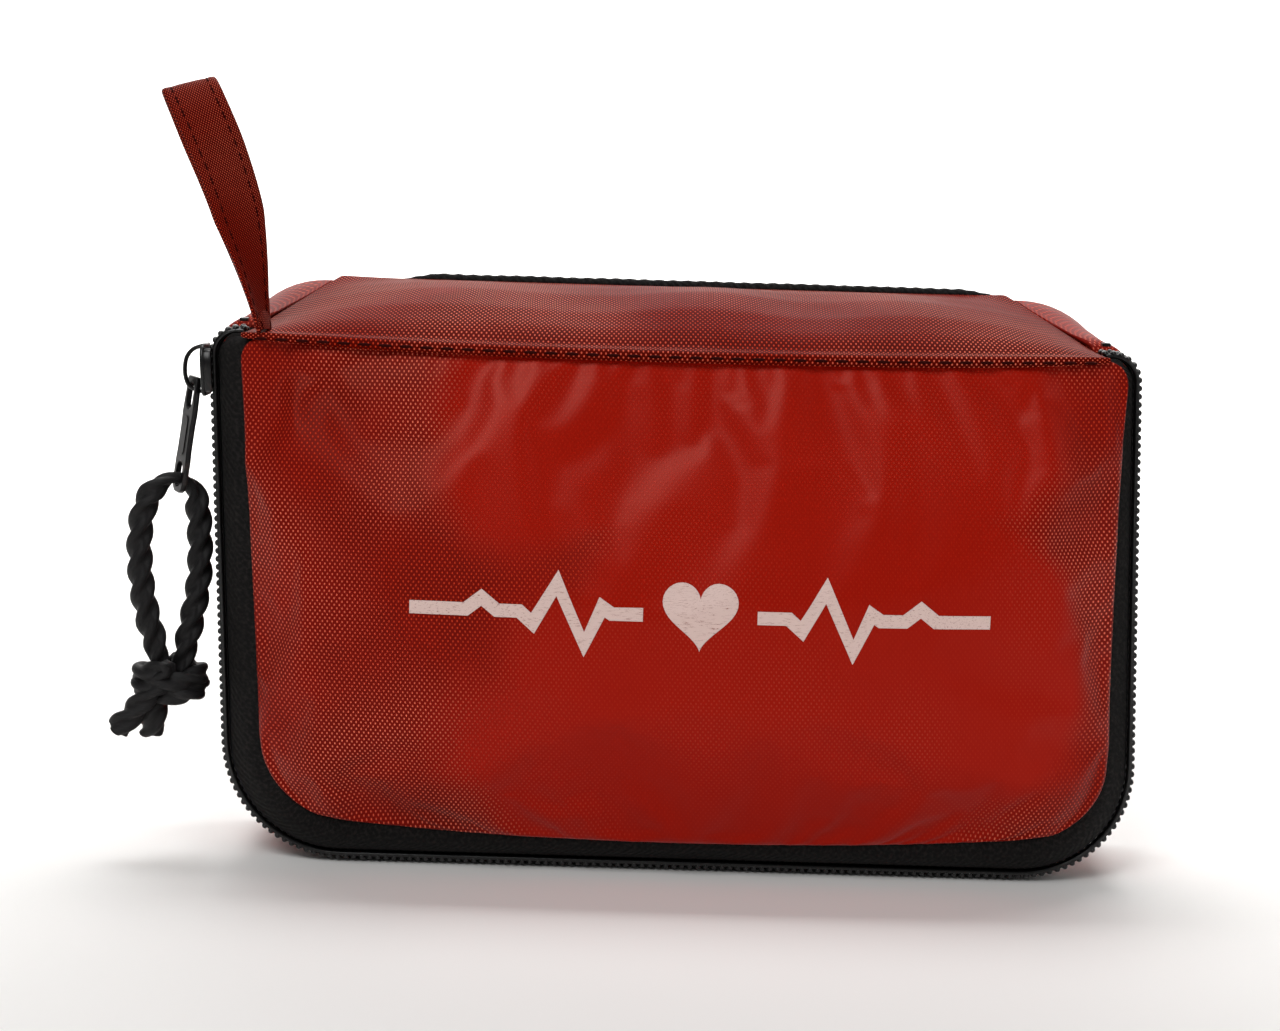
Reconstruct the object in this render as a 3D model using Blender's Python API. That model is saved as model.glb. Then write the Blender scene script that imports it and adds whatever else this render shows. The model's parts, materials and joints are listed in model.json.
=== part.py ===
"""First aid kit: a zipped soft pouch that stands on its long edge.

The bag has a front half and a back half. A zip runs round the left, bottom and right sides between them, and
the front half hangs on the rear edge of the top gusset, which is the fold it opens on. +Z is up, the front
faces -Y, and the origin is on the flat underside, in the middle of the width.
"""
import math

import bmesh
import bpy
from mathutils import Matrix, Vector

MM = 0.001
GAP = 0.3 * MM                     # clearance between touching pieces

# Driving sizes of the bag
HALF_WIDTH = 89.5 * MM             # over the zip's coils
SIDE_HEIGHT = 104.5 * MM           # top of the zip, at the gusset's ends
BACK_HEIGHT = SIDE_HEIGHT + 8.5 * MM    # top of the back panel and of the gusset's ridge
PANEL_Y = -15.2 * MM               # edge of the front panel
CHAIN_Y = -6.0 * MM                # middle plane of the zip
BACK_Y = 20.6 * MM                 # rear edge of the side wall
FRONT_BULGE = 8.4 * MM             # how far the filled front panel stands out
BACK_BULGE = 0.5 * MM
PANEL_INSET = 7.5 * MM             # front panel's edge, in from the zip's outline at the sides
PANEL_LIFT = 6.3 * MM              # and at the bottom
BOTTOM_RADIUS = 23.0 * MM
ZIP_TOP_RADIUS = 6.0 * MM
BACK_TOP_RADIUS = 20.0 * MM
GUSSET_REAR_END = HALF_WIDTH - BACK_TOP_RADIUS - 1.5 * MM    # half length of the gusset's rear edge
BINDING_LEFT = 10.0 * MM - GUSSET_REAR_END
BINDING_RIGHT = GUSSET_REAR_END + 1.0 * MM
PANEL_TOP_RADIUS = 5.0 * MM
PANEL_BOTTOM_RADIUS = 17.0 * MM
LEAN = 0.0375                      # the soft bag leans to the left, per unit of height
CLOTH = 1.0 * MM                   # coated fabric with its lining

# Zip
COIL_THICK = 2.0 * MM
COIL_WIDTH = 1.9 * MM
SLIT = 1.0 * MM                    # half the slit between the two coils
CHAIN_HALF = SLIT + COIL_WIDTH     # half the width of the closed zip
TAPE_THICK = 0.8 * MM
TAPE_DEPTH = 2.5 * MM              # tape's outer face, in from the coil's outer face
SLIDER_Z = SIDE_HEIGHT - 9.0 * MM
SLIDER_LENGTH = 10.0 * MM
SLIDER_WIDTH = 8.8 * MM
PLATE = 0.8 * MM
POST_WIDTH = 1.4 * MM
BAIL_WIDTH = 1.3 * MM
BAIL_OUT = 3.3 * MM                # how far the bail stands out
BAIL_ROOM = 1.5 * MM               # from the bail's feet to the middle of the pull's bar
BAIL_LOW = -3.9 * MM               # lower leg, from the slider's middle
BAIL_SPAN = 7.2 * MM
PULL_LENGTH = 22.8 * MM
PULL_WIDTH = 5.6 * MM
PULL_THICK = 1.1 * MM
PULL_BAR = 1.1 * MM
SLOT_WIDTH = 3.0 * MM
TOP_SLOT = 5.4 * MM
LOW_SLOT = 5.0 * MM
PULL_TILT = math.radians(8.0)      # outwards from upright
PULL_TURN = math.radians(-22.0)    # about its own length
CORD_DIAMETER = 5.2 * MM
CORD_PINCH = 2.4 * MM              # diameter of the cord where the slot squeezes it

# Hang loop
LOOP_LENGTH = 47.5 * MM
LOOP_WIDTH = 10.5 * MM
LOOP_CLOTH = 1.3 * MM
LOOP_GAP = 5.5 * MM
LOOP_SEWN = 6.0 * MM               # its two layers are sewn together this far up
LOOP_INSET = 11.4 * MM              # its foot's middle, in from the zip's outline
LOOP_LEAN = math.radians(16.0)
LOOP_TURN = math.radians(15.0)

# Inside
POCKET_Y = -0.5 * MM               # front face of the back half's net pocket
POCKET_HEIGHT = 62.0 * MM
FRONT_POCKET_Y = -12.4 * MM
NET = 0.6 * MM
EDGE_BAND = 3.0 * MM
ROLL_RADIUS = 9.3 * MM
TAPE_ROLL_RADIUS = 18.0 * MM
TAPE_CORE_RADIUS = 12.5 * MM
TAPE_ROLL_WIDTH = 12.5 * MM
SCISSORS_Y = -3.0 * MM
BLADE_THICK = 1.2 * MM
RIVET_RADIUS = 1.5 * MM
TWEEZERS_LENGTH = 74.0 * MM

ARC_STEPS = 6
SIDE_STEPS = 4
MID_HEIGHT = SIDE_HEIGHT / 2

RED = (0.42, 0.022, 0.012)
BLACK = (0.012, 0.012, 0.013)
WHITE = (0.75, 0.73, 0.68)
STEEL = (0.55, 0.55, 0.56)


def material(name, colour, roughness=0.7, metallic=0.0):
    """One Principled material per sub-part."""
    mat = bpy.data.materials.new(name)
    mat.use_nodes = True
    shader = mat.node_tree.nodes["Principled BSDF"]
    shader.inputs["Base Color"].default_value = (*colour, 1.0)
    shader.inputs["Roughness"].default_value = roughness
    shader.inputs["Metallic"].default_value = metallic
    return mat


def add_object(name, data, finish, matrix=Matrix.Identity(4)):
    obj = bpy.data.objects.new(name, data)
    bpy.context.scene.collection.objects.link(obj)
    obj.matrix_world = matrix
    data.materials.append(material(name, *finish))
    return obj


def solid(name, verts, faces, finish, smooth=True, matrix=Matrix.Identity(4)):
    """A closed mesh, its faces turned outwards."""
    mesh = bpy.data.meshes.new(name)
    mesh.from_pydata([tuple(v) for v in verts], [], faces)
    bm = bmesh.new()
    bm.from_mesh(mesh)
    bmesh.ops.recalc_face_normals(bm, faces=bm.faces)
    bm.to_mesh(mesh)
    bm.free()
    if smooth:
        mesh.shade_smooth()
        mesh.set_sharp_from_angle(angle=math.radians(40))
    return add_object(name, mesh, finish, matrix)


def leaned(x, y, z):
    """A point of the upright bag, moved over by the lean of the soft bag."""
    return Vector((x + LEAN * (MID_HEIGHT - z), y, z))


def rounded_path(corners, radii, arc_steps=ARC_STEPS, side_steps=SIDE_STEPS):
    """An open path of (x, z) points through the corners, each inner corner an arc."""
    points = []
    start = Vector(corners[0])
    for corner, radius, after in zip(corners[1:-1], radii, corners[2:]):
        corner = Vector(corner)
        back = (start - corner).normalized()
        ahead = (Vector(after) - corner).normalized()
        half = back.angle(ahead) / 2
        reach = radius / math.tan(half)
        enter = corner + back * reach
        leave = corner + ahead * reach
        centre = corner + (back + ahead).normalized() * (radius / math.sin(half))
        points += [start.lerp(enter, k / side_steps) for k in range(side_steps)]
        turn = math.pi - 2 * half
        spoke = enter - centre
        side = 1.0 if spoke.x * (leave - centre).y - spoke.y * (leave - centre).x > 0 else -1.0
        for k in range(arc_steps):
            points.append(centre + Matrix.Rotation(side * turn * k / arc_steps, 2) @ spoke)
        start = leave
    end = Vector(corners[-1])
    points += [start.lerp(end, k / side_steps) for k in range(side_steps + 1)]
    return points


def path_normals(points):
    """The outward normal at each point of a path that runs down the left side and up the right."""
    normals = []
    for i in range(len(points)):
        ahead = points[min(i + 1, len(points) - 1)] - points[max(i - 1, 0)]
        normals.append(Vector((ahead.y, -ahead.x)).normalized())
    return normals


def side_outline(half, top, bottom, end, top_radius, bottom_radius):
    """The way round the left, bottom and right sides, with a short stub along the top at each end."""
    corners = [(-end, top), (-half, top), (-half, bottom), (half, bottom), (half, top), (end, top)]
    points = rounded_path(corners, [top_radius, bottom_radius, bottom_radius, top_radius])
    return points, path_normals(points)


ZIP_END = HALF_WIDTH - ZIP_TOP_RADIUS - 1.5 * MM
PANEL_HALF = HALF_WIDTH - PANEL_INSET
PANEL_TOP = SIDE_HEIGHT - 1.9 * MM
CHAIN = side_outline(HALF_WIDTH, SIDE_HEIGHT, 0.0, ZIP_END, ZIP_TOP_RADIUS, BOTTOM_RADIUS)
PANEL = side_outline(PANEL_HALF, PANEL_TOP, PANEL_LIFT, PANEL_HALF - PANEL_TOP_RADIUS - 1.0 * MM,
                     PANEL_TOP_RADIUS, PANEL_BOTTOM_RADIUS)
BACK = side_outline(HALF_WIDTH, BACK_HEIGHT, 0.0, GUSSET_REAR_END + 0.5 * MM, BACK_TOP_RADIUS, BOTTOM_RADIUS)


def side_point(i, y, offset):
    """A point of the bag's side at depth y, offset outwards from the outline there.

    Within the zip's width the outline is the zip's own, and beyond it blends to the panel's or the back's.
    """
    level = PANEL if y < CHAIN_Y else BACK
    span = abs((PANEL_Y if y < CHAIN_Y else BACK_Y) - CHAIN_Y) - CHAIN_HALF
    share = max(0.0, abs(y - CHAIN_Y) - CHAIN_HALF) / span
    place = CHAIN[0][i].lerp(level[0][i], share)
    normal = CHAIN[1][i].lerp(level[1][i], share).normalized()
    place = place + normal * offset
    return leaned(place.x, y, place.y)


def side_sweep(name, section, finish):
    """Sweeps a closed section of (y, offset) points round the sides."""
    count = len(section)
    stations = len(CHAIN[0])
    verts = [side_point(i, y, offset) for i in range(stations) for y, offset in section]
    faces = [tuple(range(count)), tuple(range((stations - 1) * count, stations * count))]
    for i in range(stations - 1):
        for k in range(count):
            low = i * count + k
            high = i * count + (k + 1) % count
            faces.append((low, high, high + count, low + count))
    return solid(name, verts, faces, finish)


def make_zip_sides():
    """The two tapes, the two coils and the back half's side wall."""
    inner = CHAIN_Y - SLIT
    outer = CHAIN_Y - CHAIN_HALF
    chamfer = 0.4 * MM
    front = [(inner, -chamfer / 2), (inner, -COIL_THICK), (outer + chamfer, -COIL_THICK),
             (outer, -COIL_THICK / 2), (outer + chamfer, -chamfer / 2)]
    back = [(2 * CHAIN_Y - y, offset) for y, offset in front]
    side_sweep("front_coil", front, (BLACK, 0.3))
    side_sweep("back_coil", back, (BLACK, 0.3))
    edge = PANEL_Y + CLOTH + GAP
    tape_in = TAPE_DEPTH + TAPE_THICK
    seam = 1.5 * MM
    lip = CHAIN_Y - SLIT - GAP / 2
    bend = CHAIN_Y - CHAIN_HALF
    side_sweep("front_tape", [(edge, -seam), (bend, -TAPE_DEPTH), (lip, -TAPE_DEPTH), (lip, -tape_in),
                              (bend, -tape_in), (edge, -seam - TAPE_THICK)], (BLACK, 0.9))
    wall_start = -1.4 * MM
    tape_end = wall_start - GAP
    tape_lift = 1.6 * MM
    lip = CHAIN_Y + SLIT + GAP / 2
    bend = CHAIN_Y + CHAIN_HALF
    side_sweep("back_tape", [(lip, -TAPE_DEPTH), (bend, -TAPE_DEPTH), (tape_end, -tape_lift),
                             (tape_end, -tape_lift - TAPE_THICK), (bend, -tape_in), (lip, -tape_in)], (BLACK, 0.9))
    foot_front = -0.4 * MM
    foot_rear = BACK_Y - 2.6 * MM
    outside = [(wall_start, -tape_lift), (foot_front, 0.0), (foot_rear, 0.0), (BACK_Y, -0.8 * MM)]
    inside = [(y, offset - CLOTH) for y, offset in reversed(outside)]
    side_sweep("side_wall", outside + inside, (RED, 0.45))


def panel_perimeter(half, top, bottom, top_radius, bottom_radius):
    """The closed rounded outline of a panel as (x, z) points."""
    corners = [(0.0, top), (-half, top), (-half, bottom), (half, bottom), (half, top), (0.0, top)]
    points = rounded_path(corners, [top_radius, bottom_radius, bottom_radius, top_radius])
    return points[:-1]


def domed_panel(name, outline, y_edge, bulge, rings, thick, finish):
    """A cloth panel that swells from its sewn edge, with one thickness all over.

    Each ring moves the outline towards the panel's middle line by its share, and out by its rise.
    """
    low = min(p.y for p in outline)
    high = max(p.y for p in outline)
    half = max(p.x for p in outline)
    middle = (low + high) / 2
    reach = half - (high - low) / 2
    count = len(outline)
    verts = []
    for skin in (0.0, thick):
        for share, rise in rings:
            for p in outline:
                core = Vector((max(-reach, min(reach, p.x)), middle))
                place = p.lerp(core, share)
                verts.append(leaned(place.x, y_edge + bulge * rise + skin, place.y))
    layers = len(rings)
    faces = []
    for skin in (0, 1):
        first = skin * layers * count
        for r in range(layers - 1):
            for k in range(count):
                a = first + r * count + k
                b = first + r * count + (k + 1) % count
                faces.append((a, b, b + count, a + count))
        faces.append(tuple(first + (layers - 1) * count + k for k in range(count)))
    for k in range(count):
        after = (k + 1) % count
        faces.append((k, after, layers * count + after, layers * count + k))
    return solid(name, verts, faces, finish)


def make_panels():
    """The bulging front panel and the flat back panel."""
    front = panel_perimeter(PANEL_HALF, PANEL_TOP, PANEL_LIFT, PANEL_TOP_RADIUS, PANEL_BOTTOM_RADIUS)
    rise = [(0.0, 0.0), (0.1, 0.42), (0.28, 0.78), (0.52, 0.95), (0.78, 1.0)]
    domed_panel("front_panel", front, PANEL_Y, -FRONT_BULGE, rise, CLOTH, (RED, 0.4))
    inset = 0.9 * MM
    back = panel_perimeter(HALF_WIDTH - inset, BACK_HEIGHT - inset, inset, BACK_TOP_RADIUS, BOTTOM_RADIUS)
    domed_panel("back_panel", back, BACK_Y + GAP, BACK_BULGE, [(0.0, 0.0), (0.12, 1.0), (0.5, 1.0)], CLOTH,
                (RED, 0.45))


def gusset_end(y):
    """Half length and height of the gusset's ends, where they meet the zip's ends and the side wall."""
    behind = max(0.0, y - CHAIN_Y - CHAIN_HALF) / (BACK_Y - CHAIN_Y - CHAIN_HALF)
    half = ZIP_END - GAP + (GUSSET_REAR_END - ZIP_END + GAP) * behind
    before = max(0.0, CHAIN_Y - CHAIN_HALF - y) / (CHAIN_Y - CHAIN_HALF - PANEL_Y)
    drop = (SIDE_HEIGHT - PANEL_TOP) * before
    return half, SIDE_HEIGHT + GAP + (BACK_HEIGHT - SIDE_HEIGHT - GAP) * behind - drop


def make_gusset():
    """The strip over the top: its front edge is sewn to the front panel, its rear edge is the fold."""
    front = PANEL_Y + 0.1 * MM
    rear = BACK_Y - GAP
    profile = [(0.0, 0.0), (0.13, 0.3), (0.32, 0.62), (0.6, 0.88), (0.8, 1.0), (1.0, 1.0)]
    across = 16
    verts = []
    for skin in (0, 1):
        for share, rise in profile:
            y = front + (rear - front) * share
            inwards = Vector((0.0, 0.35, -0.94))
            if share == 0.0:
                inwards = Vector((0.0, 0.99, -0.1))
            elif share == 1.0:
                inwards = Vector((0.0, 0.0, -0.9))
            middle = PANEL_TOP + GAP + (BACK_HEIGHT - PANEL_TOP - GAP) * rise
            end, end_height = gusset_end(y)
            for k in range(across + 1):
                u = 2.0 * k / across - 1.0
                fill = 1.0 - abs(u) ** 6
                z = end_height * (1.0 - fill) + middle * fill
                verts.append(leaned(end * u, y, z) + inwards * CLOTH * skin)
    rows = len(profile)
    width = across + 1
    under = rows * width
    faces = []
    for r in range(rows - 1):
        for k in range(across):
            a = r * width + k
            faces.append((a, a + 1, a + 1 + width, a + width))
            faces.append((under + a, under + a + 1, under + a + 1 + width, under + a + width))
    for k in range(across):
        faces.append((k, k + 1, under + k + 1, under + k))
        last = (rows - 1) * width + k
        faces.append((last, last + 1, under + last + 1, under + last))
    for r in range(rows - 1):
        for k in (0, across):
            a = r * width + k
            faces.append((a, a + width, under + a + width, under + a))
    solid("top_gusset", verts, faces, (RED, 0.4))


def box(name, low, high, finish, bevel=0.0, leans=True):
    """A block between two corners, its edges softened by a bevel."""
    centre = (Vector(low) + Vector(high)) / 2
    size = Vector(high) - Vector(low)
    bm = bmesh.new()
    bmesh.ops.create_cube(bm, size=1.0)
    bmesh.ops.scale(bm, vec=size, verts=bm.verts)
    mesh = bpy.data.meshes.new(name)
    bm.to_mesh(mesh)
    bm.free()
    place = leaned(*centre) if leans else centre
    obj = add_object(name, mesh, finish, Matrix.Translation(place))
    if bevel:
        softened = obj.modifiers.new("soft_edges", "BEVEL")
        softened.width = bevel
        softened.segments = 2
    return obj


def make_binding():
    """The black binding on the seam of the back panel and the gusset."""
    low = (BINDING_LEFT, BACK_Y + GAP, BACK_HEIGHT - 0.6 * MM)
    high = (BINDING_RIGHT, BACK_Y + 2.2 * MM, BACK_HEIGHT + 0.9 * MM)
    box("top_binding", low, high, (BLACK, 0.9), bevel=0.4 * MM)


def turned(name, profile, finish, matrix, steps=28):
    """A solid of revolution about its own Z axis from a closed (radius, height) profile."""
    verts = []
    on_axis = all(r > 0 for r, h in profile)
    count = len(profile)
    for k in range(steps):
        angle = 2 * math.pi * k / steps
        verts += [(r * math.cos(angle), r * math.sin(angle), h) for r, h in profile]
    faces = []
    for k in range(steps):
        after = (k + 1) % steps
        for i in range(count if on_axis else count - 1):
            j = (i + 1) % count
            faces.append((k * count + i, k * count + j, after * count + j, after * count + i))
    if not on_axis:
        faces.append(tuple(k * count for k in range(steps)))
        faces.append(tuple(k * count + count - 1 for k in range(steps)))
    return solid(name, verts, faces, finish, matrix=matrix)


def chain_frame(z):
    """Axes at the left run of the zip: local X out of the bag, Y along the bag's depth, Z up the zip."""
    up = Vector((-LEAN, 0.0, 1.0)).normalized()
    depth = Vector((0.0, -1.0, 0.0))
    out = depth.cross(up)
    turn = Matrix((out, depth, up)).transposed().to_4x4()
    return Matrix.Translation(leaned(-HALF_WIDTH, CHAIN_Y, z)) @ turn


def blocks_joined(name, blocks, finish, matrix):
    """One solid from overlapping blocks, each given by its low and high corners."""
    parts = []
    for k, (low, high) in enumerate(blocks):
        part = box(f"{name}_block_{k}" if k else name, low, high, finish, leans=False)
        part.matrix_world = matrix @ part.matrix_world
        parts.append(part)
    for tool in parts[1:]:
        tool.hide_render = True
        tool.display_type = "WIRE"
        join = parts[0].modifiers.new(tool.name, "BOOLEAN")
        join.operation = "UNION"
        join.object = tool
    return parts[0]


def make_slider():
    """The slider's body, with a flange on the back half's side, and the arch that the pull hangs on."""
    frame = chain_frame(SLIDER_Z)
    half = SLIDER_LENGTH / 2
    wide = SLIDER_WIDTH / 2
    plate_out = GAP
    plate_in = -(TAPE_DEPTH + TAPE_THICK + 2 * GAP)
    post_low = half - 4.4 * MM
    flange = CHAIN_HALF + GAP
    flange_depth = 1.1 * MM
    blocks = [((plate_out, -wide, -half), (plate_out + PLATE, wide, half)),
              ((-flange_depth, -wide + 0.1 * MM, -half + 0.3 * MM),
               (plate_out + PLATE / 2, -flange, half - 0.3 * MM))]
    blocks_joined("zip_slider", blocks, (BLACK, 0.25, 0.6), frame)
    inner = [((plate_in - PLATE, -wide, -half), (plate_in, CHAIN_HALF, half - 2.2 * MM)),
             ((plate_in - PLATE / 2, -POST_WIDTH / 2, post_low),
              (plate_out, POST_WIDTH / 2, half - 2.4 * MM))]
    blocks_joined("slider_inner_plate", inner, (BLACK, 0.25, 0.6), frame)
    foot = plate_out + PLATE + GAP
    crown = foot + BAIL_OUT
    wire = 0.9 * MM
    low_leg = BAIL_LOW
    high_leg = low_leg + BAIL_SPAN
    side = BAIL_WIDTH / 2
    blocks_joined("slider_bail", [((foot, -side, low_leg), (crown, side, low_leg + wire)),
                                  ((foot, -side, high_leg), (crown, side, high_leg + wire)),
                                  ((crown - wire, -side - 0.01 * MM, low_leg + 0.1 * MM),
                                   (crown + 0.2 * MM, side + 0.01 * MM, high_leg + wire - 0.1 * MM))],
                  (BLACK, 0.25, 0.6), frame)


PULL_PIVOT = chain_frame(SLIDER_Z) @ Vector((2 * GAP + PLATE + BAIL_ROOM, 0.0, BAIL_LOW + 2.0 * MM))


def pull_frame():
    """Axes of the pull: local X across it, Y through its thickness, and Z down its length."""
    down = Vector((-math.sin(PULL_TILT), 0.0, -math.cos(PULL_TILT)))
    across = Matrix.Rotation(PULL_TURN, 3, down) @ Vector((0.0, 1.0, 0.0))
    through = down.cross(across)
    turn = Matrix((across, through, down)).transposed().to_4x4()
    return Matrix.Translation(PULL_PIVOT) @ turn


SLOT_CENTRE = PULL_LENGTH - 1.5 * PULL_BAR - LOW_SLOT / 2
PULL_SLOT = pull_frame() @ Vector((0.0, 0.0, SLOT_CENTRE))


def make_pull():
    """The flat pull tab: a long plate with a slot at each end."""
    length = PULL_LENGTH
    start = -PULL_BAR / 2
    wide = PULL_WIDTH / 2
    rail = (PULL_WIDTH - SLOT_WIDTH) / 2
    thick = PULL_THICK / 2
    top = start + PULL_BAR
    mid_top = top + TOP_SLOT
    low_bar = start + length - PULL_BAR
    mid_low = low_bar - LOW_SLOT
    keep = 0.01 * MM
    blocks = [((-wide, -thick, start), (-wide + rail, thick, start + length)),
              ((wide - rail, -thick, start), (wide, thick, start + length)),
              ((-wide + keep, -thick + keep, start + keep), (wide - keep, thick - keep, top)),
              ((-wide + keep, -thick + keep, mid_top), (wide - keep, thick - keep, mid_low)),
              ((-wide + keep, -thick + keep, low_bar), (wide - keep, thick - keep, start + length - keep))]
    blocks_joined("pull_tab", blocks, (BLACK, 0.3, 0.6), pull_frame())


def smooth_route(points, steps):
    """Points of one smooth curve through the route's offsets from the pull's slot (Catmull-Rom)."""
    rows = [PULL_SLOT + Vector(p) * MM for p in points]
    rows = [2 * rows[0] - rows[1]] + rows + [2 * rows[-1] - rows[-2]]
    route = []
    for i in range(1, len(rows) - 2):
        a, b, c, d = rows[i - 1], rows[i], rows[i + 1], rows[i + 2]
        for k in range(steps):
            t = k / steps
            route.append(0.5 * (2 * b + (c - a) * t + (2 * a - 5 * b + 4 * c - d) * t * t
                                + (3 * b - a - 3 * c + d) * t * t * t))
    route.append(rows[-2])
    return route


def cord_tube(name, route, radii, finish):
    """A plain round tube along a route, with filled ends."""
    curve = bpy.data.curves.new(name, "CURVE")
    curve.dimensions = "3D"
    curve.bevel_depth = 1.0
    curve.bevel_resolution = 2
    curve.use_fill_caps = True
    spline = curve.splines.new("POLY")
    spline.points.add(len(route) - 1)
    for point, place, radius in zip(spline.points, route, radii):
        point.co = (*place, 1.0)
        point.radius = radius
    return add_object(name, curve, finish)


# Route of the cord's loop in millimetres, from the knot up, through the pull's slot and back to the knot
# the cord's places are offsets from the pull's lower slot, in mm
CORD_ROUTE = [(-4.6, -0.9, -33.8), (-5.9, -1.4, -29.0), (-7.0, -2.0, -23.0), (-7.5, -2.4, -17.0),
              (-7.4, -2.7, -11.0), (-6.3, -2.8, -5.6), (-3.7, -2.2, -1.8), (-0.2, -0.2, -0.7),
              (2.3, 1.6, -3.4), (3.0, 2.1, -8.5), (3.3, 2.0, -14.5), (3.2, 1.6, -20.5),
              (2.3, 0.9, -27.0), (1.0, 0.0, -33.8)]
KNOT_CENTRE = PULL_SLOT + Vector((-1.9, -0.5, -40.4)) * MM
KNOT_HALF = Vector((8.0, 6.2, 5.9)) * MM
TAIL_ROUTES = [[(-8.1, -2.4, -45.4), (-10.3, -2.9, -48.1), (-12.1, -3.1, -51.0)],
               [(-4.9, 0.8, -47.4), (-5.7, 1.1, -49.8), (-6.7, 1.4, -52.2)]]


def make_cord():
    """The looped cord, its knot and its two cut tails."""
    route = smooth_route(CORD_ROUTE, 3)
    radii = []
    for place in route:
        near = min(1.0, max(0.0, ((place - PULL_SLOT).length - 1.6 * MM) / (5.0 * MM)))
        radii.append((CORD_PINCH + (CORD_DIAMETER - CORD_PINCH) * near) / 2)
    cord_tube("pull_cord", route, radii, (BLACK, 0.8))
    bm = bmesh.new()
    bmesh.ops.create_uvsphere(bm, u_segments=20, v_segments=12, radius=1.0)
    bmesh.ops.scale(bm, vec=KNOT_HALF, verts=bm.verts)
    mesh = bpy.data.meshes.new("cord_knot")
    bm.to_mesh(mesh)
    bm.free()
    mesh.shade_smooth()
    add_object("cord_knot", mesh, (BLACK, 0.8), Matrix.Translation(KNOT_CENTRE))
    for k, tail in enumerate(TAIL_ROUTES):
        steps = smooth_route(tail, 2)
        cord_tube(f"cord_tail_{k + 1}", steps, [CORD_DIAMETER / 2 - 0.2 * MM] * len(steps), (BLACK, 0.8))


def loop_frame():
    """Axes of the hang loop: local X across the strap, Y towards the front layer, Z up its length."""
    across = Matrix.Rotation(LOOP_TURN, 3, "Z") @ Vector((1.0, 0.0, 0.0))
    out = Matrix.Rotation(LOOP_TURN, 3, "Z") @ Vector((0.0, -1.0, 0.0))
    lean = Matrix.Rotation(-LOOP_LEAN, 3, -out)
    across = lean @ across
    up = lean @ Vector((0.0, 0.0, 1.0))
    turn = Matrix((across, out, up)).transposed().to_4x4()
    base = leaned(-HALF_WIDTH + LOOP_INSET, PANEL_Y + 2.2 * MM, SIDE_HEIGHT + 0.9 * MM)
    return Matrix.Translation(base) @ turn


def teardrop(length, start, swell, steps):
    """A pointed loop in (out, up) coordinates, from its sewn foot round its top."""
    points = []
    for k in range(steps):
        angle = 2 * math.pi * (k + 0.5) / steps
        out = swell * math.sin(angle) * math.sin(angle / 2)
        points.append((out, start + (length - start) / 2 * (1 - math.cos(angle))))
    return points


def make_hang_loop():
    """The folded strap, sewn together at its foot."""
    steps = 24
    swell = LOOP_GAP + LOOP_CLOTH
    outer = teardrop(LOOP_LENGTH, 0.0, swell, steps)
    inner = teardrop(LOOP_LENGTH - LOOP_CLOTH, LOOP_SEWN, LOOP_GAP, steps)
    verts = []
    for ring in (outer, inner):
        for x in (-LOOP_WIDTH / 2, LOOP_WIDTH / 2):
            verts += [(x, out, up) for out, up in ring]
    faces = []
    for k in range(steps):
        after = (k + 1) % steps
        a, b, c, d = 0, steps, 3 * steps, 2 * steps
        for first, second in ((a, b), (b, c), (c, d), (d, a)):
            faces.append((first + k, first + after, second + after, second + k))
    solid("hang_loop", verts, faces, (RED, 0.5), matrix=loop_frame())


def make_pockets():
    """The net pocket in each half, each with an elastic edge, and the leaflet, wipes and pins in front."""
    inset = 3.3 * MM
    side = HALF_WIDTH - inset
    flat_pocket("back_pocket", side, inset, POCKET_HEIGHT, BOTTOM_RADIUS - inset, POCKET_Y, NET)
    band = POCKET_HEIGHT + GAP
    box("back_pocket_edge", (-side + MM, POCKET_Y, band), (side - MM, POCKET_Y + 1.2 * MM, band + EDGE_BAND),
        (BLACK, 0.9), bevel=0.3 * MM)
    side = PANEL_HALF - 2.5 * MM
    floor = PANEL_LIFT + 3.0 * MM
    flat_pocket("front_pocket", side, floor, POCKET_HEIGHT, PANEL_BOTTOM_RADIUS, FRONT_POCKET_Y, NET)
    box("front_pocket_edge", (-side + MM, FRONT_POCKET_Y - 0.6 * MM, band),
        (side - MM, FRONT_POCKET_Y + 0.6 * MM, band + EDGE_BAND), (BLACK, 0.9), bevel=0.3 * MM)


def flat_pocket(name, half, floor, top, radius, y, thin):
    """A net pocket's front: a thin sheet with round lower corners."""
    points = rounded_path([(-half, top), (-half, floor), (half, floor), (half, top)], [radius, radius])
    verts = []
    for skin in (0.0, thin):
        verts += [leaned(p.x, y + skin, p.y) for p in points]
    count = len(points)
    faces = [tuple(range(count)), tuple(range(count, 2 * count))]
    faces += [(k, (k + 1) % count, count + (k + 1) % count, count + k) for k in range(count)]
    solid(name, verts, faces, (BLACK, 0.9))


def packet(name, low, high, colour, roughness=0.5, bevel=1.2 * MM):
    """A flat soft packet: a block with rounded edges."""
    low = Vector(low) * MM
    high = Vector(high) * MM
    box(name, low, high, (colour, roughness), bevel=min(bevel, (high.y - low.y) * 0.3))


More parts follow.
